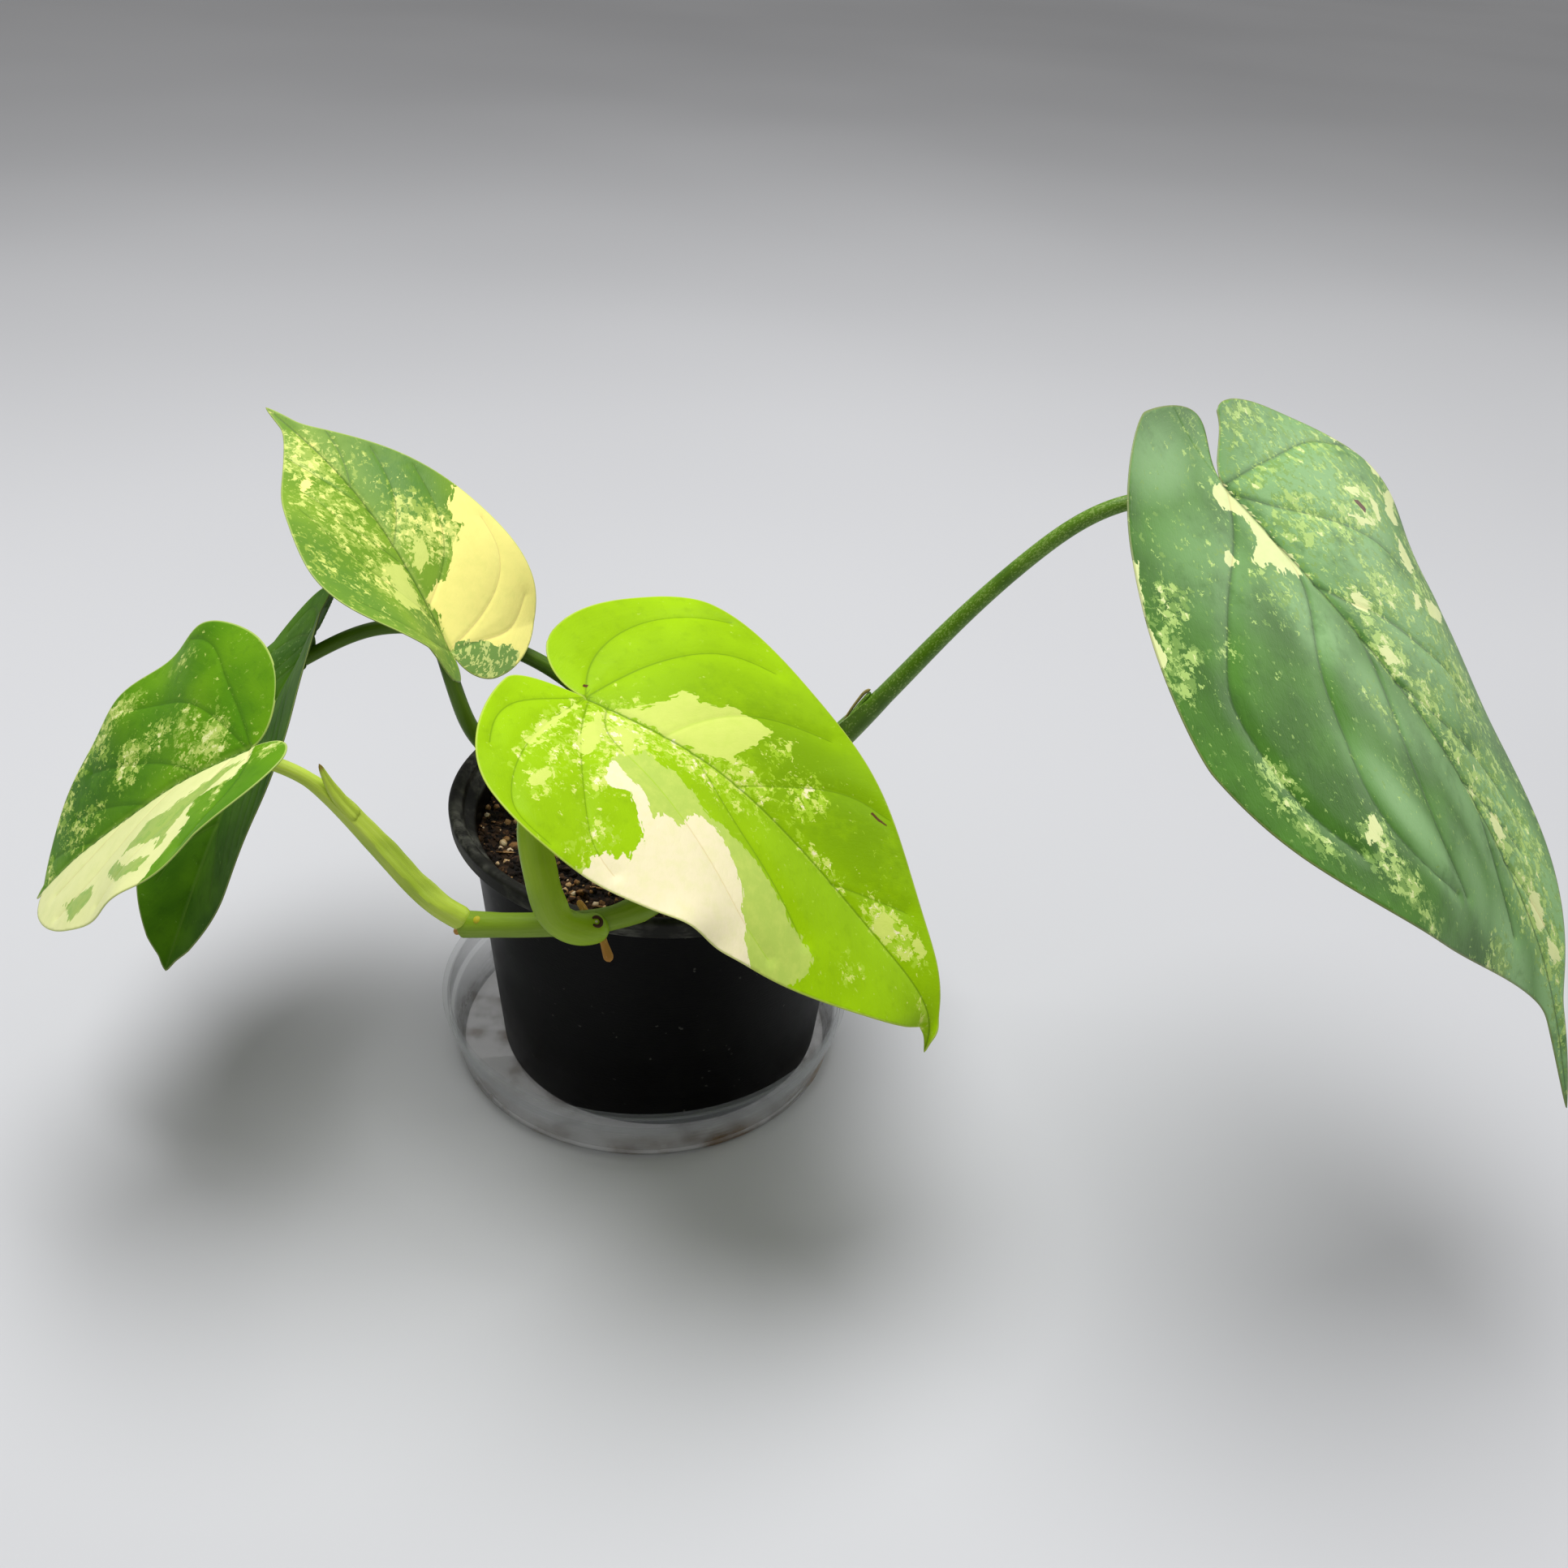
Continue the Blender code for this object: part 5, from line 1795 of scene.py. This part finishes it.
RIGHT = Leaf(
    name="leaf_blade_right",
    midrib=((134.4, -34.4, 208.5), (159, -49, 189), (183, -61, 167), (206.7, -69, 138.7),
            (227, -78.5, 106), (240, -89.5, 69.7)),
    roll=2.3, twist=5.3, lobe_arch=0.0172, drip=(24, 3.5), ripple=67.9,
    left=Half(73.5, 38.1, 15.9, 18.7, 1.22, 1.9, 1.52, (15.3, 5.7), -29.5, (2.4, -13), -6.5),
    right=Half(72.2, 42.9, 24.3, 13.9, 1.28, 1.96, 1.37, (-2.5, -7.4), -13, (0.5, -91), 13.5),
    finish=SEA,
    patches={
        Shade.CREAM: drawn(
            "3 -1.5, -0.5 0, -0.3 14, -0.3 26, 2 28, 5 27, 5 24, 8 25, 9 21, 13 20, 14 17.5, 9 16, "
            "6 14, 3.5 11, 4.5 7, 8 4, 8 0",
            "19 12, 17 13, 18 15.5, 21 15.5, 22 13.5", "46 1, 50 4, 56 11, 60 20, 66 24, 70 10, 58 -8",
            "43 72, 45 75, 49 75, 52 73.5, 48 71.5",
            "-50 -6, -55 3, -57 9, -62 14, -66 19, -64 24, -80 27, -80 -4",
            "-38 19.5, -43 21.5, -46 23, -44 25, -40 23", "-31 26, -33 29.5, -38 32, -37 29.5, -34 27",
            "-48 27, -45 30, -43 33, -46 33, -50 30",
            "-62 29, -76 30, -70 34, -62 35, -60 39, -54 37, -52 33, -57 32",
            "-51 41, -51 45, -50 50, -44 50, -43 45, -47 42", "-8 38.5, -11 41, -12 45, -8.5 46, -6 43",
            "-36 53, -39 55, -35 58, -30 56", "-41 58, -49 62, -55 70, -44 68, -38 62",
            "-3 53, -6.5 55, -6 60, -1 58", "-5 105, -8 108, -6 113, -2 112, -2 107",
            "-5 128, -9 132, -6 139, -2 138, -2 132", "-4 141, -8 144, -8 149, -3 147",
        ),
        Shade.SCAR: drawn("-38 24, -40.5 25, -41 28, -39 29, -38.5 26.5"),
    },
    mottles=spots(
        "49 12 8 5 0.6, 56 20 5 7 0.5, 61 24 4 6 0.8, 43 28 5 4 0.25, 13 26 9 9 0.25, 58 53 4 5 0.75, "
        "62 60 3 12 0.6, 48 75 7 5 0.5, 50 84 5 9 0.75, 50 98 5 7 0.45, 22 131 8 7 0.6, 14 62 4 7 0.3, "
        "25 76 4 7 0.22, 60 4 8 8 0.3, 30 8 22 20 0.07, -24 -10 10 5 0.6, -14 4 14 3 0.55, "
        "-34 6 10 4 0.4, -13 19 12 9 0.7, -26 26 12 7 0.6, -48 8 14 10 0.4, -62 30 10 10 0.5, "
        "-42 26 10 9 0.95, -22 46 9 9 0.7, -10 44 7 7 0.7, -42 60 14 14 0.55, -5 57 6 8 0.85, "
        "-33 84 13 13 0.65, -6 72 7 8 0.8, -6 87 6 8 0.7, -4 98 5 8 0.8, -16 102 12 11 0.5, "
        "-17 120 9 11 0.7, -5 112 6 8 0.7, -4 130 9 13 0.85, -4 146 7 11 0.8, -2 162 4 12 0.5, "
        "-60 50 8 14 0.5, -30 4 40 34 0.22"
    ),
    veins=drawn(
        "0 1, 11 10, 30 20, 43 28, 53 36, 57 48, 58 60, 55 74",
        "0 16, 2 26, 10 36, 19 43, 26 50, 33 60, 39 69, 41 78, 39 88, 31 104",
        "0 48, 8 62, 18 76, 26 92, 27 108", "0 100, 6 114, 10 132", "0 0, -11 1, -28 3, -47 6, -60 12",
        "0 3, -7 10, -19 20, -31 31, -38 40, -42 52", "0 32, -5 40, -12 48, -17 56, -24 68, -31 80, -34 92",
        "0 62, -7 78, -14 92, -18 104, -20 118", "0 92, -6 106, -11 120", "0 116, -4 130, -7 142",
    ),
    # Painted sheen across the blade.
    shade_and_sheen_spots=spots(
        "26 12 18 16 0.6, 12 36 9 16 1, 12 60 7 20 0.7, 33 84 6 24 1, 18 -14 14 10 0.9, 6 96 6 34 0.7, "
        "22 108 7 20 0.7, -28 16 36 34 1.2, -26 66 24 36 0.9, -10 124 16 40 1.2, 16 136 10 20 1.1, "
        "-2 158 10 24 1.2"
    ),
    fill=(0.16, 0.01), groove=0.28, quilt=0.55, sweep=1.2, spacing=0.8,
)
UPPER_LEFT = Leaf(
    name="leaf_blade_upper_left",
    midrib=((-60, -6, 134), (-72, 4, 151), (-87, 17, 165.5), (-105, 30, 177), (-120, 38, 185)),
    roll=3, twist=-48, lobe_arch=-0.003, drip=(7, 2), ripple=55,
    left=Half(38.4, 14.7, 9.8, 13.8, 1.12, 1.98, 1.88, (22, 3), -7, (3.6, 118)),
    right=Half(37.7, 12, 11.2, 11.1, 1.2, 1.87, 1.98, (21, 6), -7, (1.2, 3)),
    finish=FRESH,
    patches={
        Shade.PALE: drawn(
            "-10 27, -1.3 27.5, -2.8 23, -4 19.5, -4.6 16, -6.6 12.8, -15.5 13.7, -15.8 18, -11.5 20, "
            "-11 23",
            "5.5 32, 9 33, 8.5 30, 7 26.5, 1.6 23, 2.5 28",
        ),
        Shade.CREAM: drawn(
            "26.5 45, 25.5 43, 24 41.5, 21 39.5, 21 37, 20 35.5, 22.5 33.5, 19 30, 16.5 28.5, "
            "13.5 24.5, 9 20, 6 20, 0.5 16, 0.7 14, 1.7 10.5, -0.5 3, -1 -1, -3 -14, 30 -16, 48 6, "
            "44 40",
            "-13.5 61, -10 63, -9.5 61, -11.5 59.5, -15 58", "17 39, 18.5 37.5, 17 36.5, 15.5 38",
            "14.5 36.5, 16.5 34, 16 32, 13.5 34.5",
        ),
        Shade.DEEP: drawn(
            "-2 -0.5, 2.5 1.5, 6.5 1.5, 14 -0.3, 16 -3, 18.5 -3, 21.5 -4.5, 23 -6.5, 20.5 -9, "
            "15.5 -12.5, 6 -14, -2 -6",
        ),
    },
    mottles=spots(
        "-5 70 8 11 0.8, -12 52 9 9 0.5, -12 38 11 8 0.5, -30 31 4 6 0.4, 8 37 9 11 0.7, "
        "-12 22 10 8 0.8, 15 33 7 7 0.85, 4 62 5 12 0.2, -24 22 8 6 0.2, -5 10 3 8 0.5"
    ),
    veins=drawn(
        "0 0.8, 17.5 8, 27 16.5, 30 24, 30 34", "0 0, 13 0, 25 1, 33 8", "0 14, 12 26, 18 40, 20 54",
        "0 34, 9 48, 13 64", "0 56, 5 68, 7 78", "0 0, -12 2, -24 8, -32 18", "0 8, -12 20, -20 36, -22 50",
        "0 26, -10 40, -15 58", "0 46, -6 60, -9 73",
    ),
    # Darker green painted as shade.
    shade_and_sheen_spots=spots("14 52 12 16 0.9, -30 24 10 26 0.6, -10 4 8 16 0.7"),
    fill=(0.1, 0.01), groove=0.24, quilt=0.3, sweep=1.1, spacing=0.6,
)
LOWER_LEFT = Leaf(
    name="leaf_blade_lower_left",
    midrib=((-95, -70, 138), (-113, -67.5, 126.5), (-131, -64.5, 111.5), (-148, -62, 96),
            (-164, -58, 78)),
    roll=-27, twist=-9, lobe_arch=-0.005, drip=(5, 1.5), ripple=32,
    left=Half(39.8, 17.3, 16.7, 13.3, 0.7, 2.1, 1.58, (22, 10), -14, (0.8, -195)),
    right=Half(41.7, 16.8, 9.2, 15.6, 0.72, 2.13, 1.69, (22, 11), -14, (1.5, -70)),
    finish=MEADOW,
    patches={
        Shade.CREAM: drawn(
            "-0.3 -1, -3 -2.4, -8.5 -2.8, -14.3 -2, -15 2, -16 9, -21 9.3, -24.7 6.7, -31.7 11, "
            "-34.6 13.6, -46 20, -46 44, -36 76, -10 92, -0.3 94",
        ),
        Shade.DEEP: drawn(
            "-6 -1.3, -6.6 6, -10.3 12.3, -12 16.3, -14.8 19.5, -13.6 26.4, -19 31, -21.9 33.3, "
            "-23.6 22, -24.8 17, -30.8 15.3, -18 11, -13 4",
            "-29.6 56, -24.2 59.7, -19.3 63.8, -20.9 54.4, -21.9 48.2, -26.3 47.2, -28.1 52.9",
            "-30.8 15.3, -34.1 19, -33 29.3, -22.5 40.7, -22 36, -29 27",
        ),
    },
    mottles=spots(
        "6.7 11.6 6 5 0.95, 5 19 4 9 0.5, 15 44 6 5 0.75, 17 32 5 8 0.45, 14 21 6 5 0.4, "
        "30 57 4 9 0.75, 33 48 3 9 0.8, 7 65 5 10 0.45, 18 77 6 8 0.6, 25 68 4 7 0.55, "
        "35 22.5 2.5 6 0.4, -14 1 10 2 0.6, -22 10 8 2.5 0.6, -5 -9 4 4 0.8, 24 54 4 4 0.4, "
        "4 84 4 3 0.8"
    ),
    veins=drawn(
        "0 0, 8 2, 23 7.5, 34 12, 40 20", "0 1, 9 8, 20.5 20, 27 32, 31 44", "0 18, 9 32, 16 48, 21 60",
        "0 38, 7 54, 11 68", "0 60, 4 72, 6 81", "0 0, -12 -4, -24 -2, -33 6",
        "0 4, -14 12, -26 26, -32 42", "0 22, -10 36, -18 52, -22 66", "0 44, -7 58, -11 72",
    ),
    # Darker green painted as shade.
    shade_and_sheen_spots=spots("16 62 16 26 0.9"),
    fill=(0.0, 0.015), groove=0.22, quilt=0.35, sweep=1.0, spacing=0.6,
)
BACK_LEFT = Leaf(
    name="leaf_blade_back_left",
    midrib=((-106, 14, 125), (-115, -4, 108), (-123, -21, 90), (-130, -35, 70.5), (-136, -51, 50)),
    roll=26, twist=-34, lobe_arch=0.002, drip=(3, 3.0), ripple=57,
    left=Half(41, 12.5, 16.7, 12.8, 0.73, 1.87, 1.79, (11, 16), -6, (0.2, -58)),
    right=Half(41.3, 12.5, 18.2, 11.7, 0.71, 1.89, 1.78, (9, 17), -3, (0.3, 52)),
    finish=NIGHT, mottles=spots("20 4 14 8 0.08"), groove=0.2, quilt=0.25, sweep=1.3, spacing=0.7,
    laterals=6,
)
LEAVES = (CENTRE, RIGHT, UPPER_LEFT, LOWER_LEFT, BACK_LEFT)

GREEN_STALK = StalkFinish(
    **shades(main=(146, 180, 22), shadow=(106, 144, 6), edge=(168, 188, 80)), gloss=0.42)
PALE_STALK = StalkFinish(
    **shades(main=(186, 210, 66), shadow=(142, 176, 22), edge=(218, 226, 140)), gloss=0.38)
STEM_SKIN = StalkFinish(
    **shades(main=(120, 150, 20), shadow=(90, 122, 6), edge=(160, 182, 80)), gloss=0.42)
DARK_STALK = StalkFinish(
    **shades(main=(88, 128, 18), shadow=(62, 100, 8), edge=(116, 150, 50), speck=(150, 178, 92)),
    specks=0.36, gloss=0.42)
SHADE_STALK = StalkFinish(
    **shades(main=(96, 132, 22), shadow=(64, 98, 8), edge=(126, 154, 50), speck=(150, 168, 96)),
    specks=0.02, gloss=0.45)
TAN_ROOT = StalkFinish(
    **shades(main=(184, 134, 54), shadow=(146, 96, 32), edge=(206, 164, 90), speck=(232, 206, 150)),
    specks=0.1, gloss=0.75, grain=0.9)
DRY_EDGE = StalkFinish(
    **shades(main=(158, 146, 84), shadow=(104, 88, 44), edge=(196, 186, 130)), gloss=0.7, grain=0.6)
DRY_DARK = StalkFinish(
    **shades(main=(62, 34, 18), shadow=(36, 20, 12), edge=(92, 58, 34)), gloss=0.8, grain=0.9)
CORK = StalkFinish(
    **shades(main=(206, 200, 176), shadow=(170, 158, 120), edge=(222, 216, 196), speck=(150, 130, 90)),
    specks=0.1, gloss=0.8, grain=0.9)
BUD = StalkFinish(
    **shades(main=(186, 176, 30), shadow=(160, 150, 14), edge=(200, 190, 60)), gloss=0.5)

STALKS = {
    "centre": Stalk(
        "petiole_stalk_centre",
        ((-8, -70, 92.2), (-14.6, -73.5, 92.4), (-20, -74, 95.5), (-24.5, -71.5, 105.5), (-27.8, -64, 116.5),
         (-24, -57, 133)),
        ((0, 4.0), (0.25, 4.4), (0.5, 4.2), (0.75, 3.0), (1, 2.4)), GREEN_STALK,
        (0.15, 0.8, 0.16), (1, 0.6, 0.2)),
    "right": Stalk(
        "petiole_stalk_right",
        ((20, 2, 62), (30, -2, 84), (43, -5, 106), (56, -9, 125), (74, -19, 156), (92, -29, 184),
         (111, -36, 202.5)),
        ((0, 5.4), (0.15, 4.8), (0.3, 3.9), (0.42, 2.7), (0.7, 2.1), (1, 1.8)), DARK_STALK,
        (0.05, 0.41, 0.14), (-0.6, 0.2, 0.8)),
    "upper_left": Stalk(
        "petiole_stalk_upper_left",
        ((-26, 6, 62), (-36, 4, 80), (-48, 1, 94), (-56, -3, 107), (-59, -6, 119)),
        ((0, 4.4), (0.3, 3.6), (0.6, 2.5), (1, 2.1)), SHADE_STALK, (0.05, 0.5, 0.16), (0.6, 0, 0.8)),
    "lower_left": Stalk(
        "petiole_stalk_lower_left",
        ((-46, -62.3, 83.5), (-52.3, -63.5, 88.6), (-63.5, -65, 103), (-75, -66, 119.3), (-84, -67.5, 129.3)),
        ((0, 3.3), (0.2, 3.2), (0.5, 2.9), (0.72, 2.3), (0.8, 1.9), (1, 1.8)), PALE_STALK, (0.1, 0.76, 0.12),
        (0.5, -0.5, 0.8)),
    "back_left": Stalk(
        "petiole_stalk_back_left",
        ((-2, 20, 62), (-10, 21, 84), (-24, 21.5, 105), (-42, 21, 119), (-66, 19.5, 127), (-88, 17, 127.5)),
        ((0, 4.4), (0.2, 3.6), (0.4, 2.5), (1, 2.0)), SHADE_STALK, (0.05, 0.35, 0.16), (-0.6, 0, 0.8)),
}
STEM = Stalk(
    "vine_stem",
    ((24, -20, 62), (19, -38, 82), (8, -56, 93.5), (-7, -68.5, 93), (-20, -68, 89.5), (-34, -65.5, 86),
     (-47.3, -62.2, 82.7)),
    ((0, 3.0), (0.3, 3.0), (0.5, 3.1), (0.56, 3.8), (0.62, 3.2), (0.9, 3.3), (1, 3.7)), STEM_SKIN)
ROOTS = {
    "below": Stalk("aerial_root_below", ((-10.5, -70, 91.5), (-8.6, -72.1, 86.8), (-7, -73.5, 82.5)),
                   ((0, 1.0), (0.5, 1.0), (0.85, 1.35), (1, 1.0)), TAN_ROOT, round_end=True),
    "above": Stalk("aerial_root_above", ((-13, -68, 90), (-15.4, -63.8, 92), (-17, -61.5, 92.5)),
                   ((0, 1.3), (0.85, 0.9), (1, 0.7)), TAN_ROOT, round_end=True),
    "left": Stalk("aerial_root_left", ((-47, -62, 84), (-49.1, -59, 79.1), (-51, -57, 75.5)),
                  ((0, 1.5), (0.85, 1.1), (1, 0.9)), TAN_ROOT, round_end=True),
}
TONGUES = {
    "right": Stalk(
        "sheath_tongue_right",
        ((50.2, -8.3, 117.6), (51.6, -8.4, 121.6), (53.3, -8.7, 125.3), (55.1, -9, 128.7), (57, -9.6, 132.4)),
        ((0, 2.0), (0.6, 1.8), (0.95, 1.3), (1, 1.1)), DARK_STALK, groove=(-0.6, 0.2, 0.8), flat=0.6,
        round_end=True),
    "lower_left": Stalk(
        "sheath_tongue_lower_left", ((-71.5, -66.5, 117), (-76.5, -67.6, 125.5), (-79.3, -68, 133.5)),
        ((0, 2.2), (0.5, 1.8), (1, 0.5)), replace(PALE_STALK, browned=0.86), groove=(0.5, -0.5, 0.8),
        flat=0.6, round_end=True),
}


def around(place: Point, facing: Point, reach: float, turns: float, steps: int = 14) -> tuple[Point, ...]:
    """Points of an arc that lies on a surface.

    Args:
        place: The arc's middle, in mm.
        facing: The surface's direction there.
        reach: The arc's radius.
        turns: How much of a full turn it makes.
        steps: Points, less one.

    Returns:
        The arc's points.
    """
    out = unit(np.array(facing, dtype=float))
    first = unit(np.cross(out, (0.0, 0.0, 1.0)))
    second = np.cross(out, first)
    angles = np.linspace(0, math.tau * turns, steps + 1)[:, None]
    return tuple(map(tuple, np.array(place) + reach * (first * np.cos(angles) + second * np.sin(angles))))


MARKS = (
    ("petiole_centre", Stalk(
        "scar_rim", around((-10.4, -73.8, 95.5), (0.42, -0.3, 0.86), 1.3, 0.8),
        ((0, 0.3), (0.3, 0.55), (0.8, 0.5), (1, 0.3)), DRY_DARK, round_end=True, sides=12)),
    ("petiole_centre", Stalk(
        "scar_middle", ((-10.7, -73.6, 94.9), (-10.5, -73.7, 95.3), (-10.35, -73.8, 95.65)),
        ((0, 0.7), (1, 0.6)), CORK, round_end=True, sides=12)),
    ("petiole_right", Stalk(
        "sheath_edge",
        ((49.2, -8.2, 119.2), (50.9, -8.3, 123.2), (52.6, -8.5, 126.9), (54.2, -8.7, 129.9),
         (55.7, -9.2, 132.3), (56.9, -9.8, 133.4)),
        ((0, 0.3), (0.5, 0.4), (0.9, 0.5), (1, 0.45)), DRY_EDGE, round_end=True, sides=12)),
    ("stem", Stalk(
        "bud", ((-42.9, -64.8, 86), (-43.1, -65.1, 86.6), (-43.3, -65.5, 87.3)), ((0, 1.3), (1, 1.1)), BUD,
        round_end=True, sides=16)),
)
SEATS = {"back_left": (7.0, 1.2)}
SEAT_PAST = 2.0
SEAT_DEPTH = 2.6


@dataclass(frozen=True)
class Lamp:
    """Round soft light: where it hangs and what it aims at, in metres, its width and its power in watts."""

    name: str
    place: Point
    aim: Point
    width: float
    power: float

    def hang(self) -> None:
        """Put the light in the scene."""
        light = bpy.data.lights.new(self.name, "AREA")
        light.shape = "DISK"
        light.size = self.width
        light.energy = self.power
        holder = linked(self.name, light)
        holder.location = self.place
        holder.rotation_euler = (Vector(self.aim) - Vector(self.place)).to_track_quat("-Z", "Y").to_euler()


@dataclass
class Studio:
    """Pale floor, soft lights, and the camera, with its lens in mm and its angles in degrees."""

    sensor: float = 36
    lens: float = 36 * 1937 / 1932
    pitch: float = 32.05
    roll: float = 4.0
    stand: Point = (0.0348, -0.3931, 0.3406)
    floor_size: float = 9.0
    lamps: tuple[Lamp, ...] = (Lamp("key", (-0.1, 0.1, 1.25), (0.03, -0.02, 0.1), 0.9, 15.5),
                               Lamp("side", (1.4, 0.7, 0.8), (0.1, -0.05, 0.12), 1.0, 5.0))

    def build(self) -> None:
        """Set up the floor, the lights and the camera."""
        self.floor()
        self.lights()
        self.camera()

    def floor(self) -> None:
        """Lay the floor."""
        mesh = bpy.data.meshes.new("floor")
        half = self.floor_size / 2
        rim = [(-half, -half, 0), (half, -half, 0), (half, half, 0), (-half, half, 0)]
        mesh.from_pydata(rim, [], [(0, 1, 2, 3)])
        floor = linked("floor", mesh)
        g = ShaderGraph("floor")
        spot = g.add("ShaderNodeTexCoord").out("Object")
        tone = g.noise(spot, 1.2, 2)
        colour = g.mix(tone.between(0.3, 0.7), screen(196, 197, 200), screen(204, 205, 208))
        mesh.materials.append(g.finish(colour, 0.85, 0.2))
        floor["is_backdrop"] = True

    def lights(self) -> None:
        """Hang the lights."""
        scene = bpy.context.scene
        scene.view_settings.view_transform = "Standard"
        world = bpy.data.worlds.new("studio")
        world.use_nodes = True
        sky = world.node_tree.nodes["Background"]
        sky.inputs["Color"].default_value = (1.0, 0.99, 0.98, 1)
        sky.inputs["Strength"].default_value = 0.35
        scene.world = world
        for lamp in self.lamps:
            lamp.hang()

    def camera(self) -> None:
        """Stand the camera where the photograph was taken."""
        pitch, roll = math.radians(self.pitch), math.radians(self.roll)
        ahead = Vector((0, math.cos(pitch), -math.sin(pitch)))
        up, east = Vector((0, math.sin(pitch), math.cos(pitch))), Vector((1, 0, 0))
        right = east * math.cos(roll) + up * math.sin(roll)
        top = up * math.cos(roll) - east * math.sin(roll)
        camera = linked("camera", bpy.data.cameras.new("camera"))
        camera.data.lens = self.lens
        camera.data.sensor_width = self.sensor
        camera.data.clip_start = 0.01
        turned = Matrix((right, top, -ahead)).transposed().to_4x4()
        camera.matrix_world = Matrix.Translation(self.stand) @ turned
        bpy.context.scene.camera = camera


def install(piece: Object, slot: str, *nodes: str) -> None:
    """Let a piece ride on the part.

    Args:
        piece: The finished piece.
        slot: The record's material slot. Not used.
        *nodes: CAD nodes that it stands for.
    """
    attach(piece, ROOT)
    if nodes:
        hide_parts(*nodes)
    LOG.info("%s: %d faces", piece.name, len(piece.data.polygons))


def corners() -> list[list[float]]:
    """Lowest and highest corner of what is shown."""
    return [list(corner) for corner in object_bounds()]


def main() -> None:
    """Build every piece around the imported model."""
    logging.basicConfig(level=logging.INFO, format="%(message)s")
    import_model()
    Studio().build()
    sweep, turn, scatter = SweepRecipe(), TurnRecipe(), ScatterRecipe()
    pot = Pot()
    install(pot.build(turn), "black_plastic", "pot")
    install(Saucer().build(turn), "clear_plastic", "saucer")
    plug, *crumbs = Soil(pot).build(turn, scatter)
    install(plug, "potting_mix", "soil")
    for piece in crumbs:
        install(piece, "potting_mix")
    for leaf in LEAVES:
        key = leaf.name.removeprefix("leaf_blade_")
        install(leaf.build(), f"leaf_{key}", f"leaf_{key}")
        stalk = STALKS[key]
        stalk.path = (*stalk.path, tuple(leaf.seat(*SEATS.get(key, (SEAT_PAST, SEAT_DEPTH)))))
        install(stalk.build(sweep), f"petiole_{key}", f"petiole_{key}")
        if key in TONGUES:
            install(TONGUES[key].build(sweep), f"petiole_{key}")
    install(STEM.build(sweep), "stem", "stem")
    for slot, mark in MARKS:
        install(mark.build(sweep), slot)
    for key, root in ROOTS.items():
        install(root.build(sweep), "aerial_root", f"root_{key}")
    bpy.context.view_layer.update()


if __name__ == "__main__":
    main()
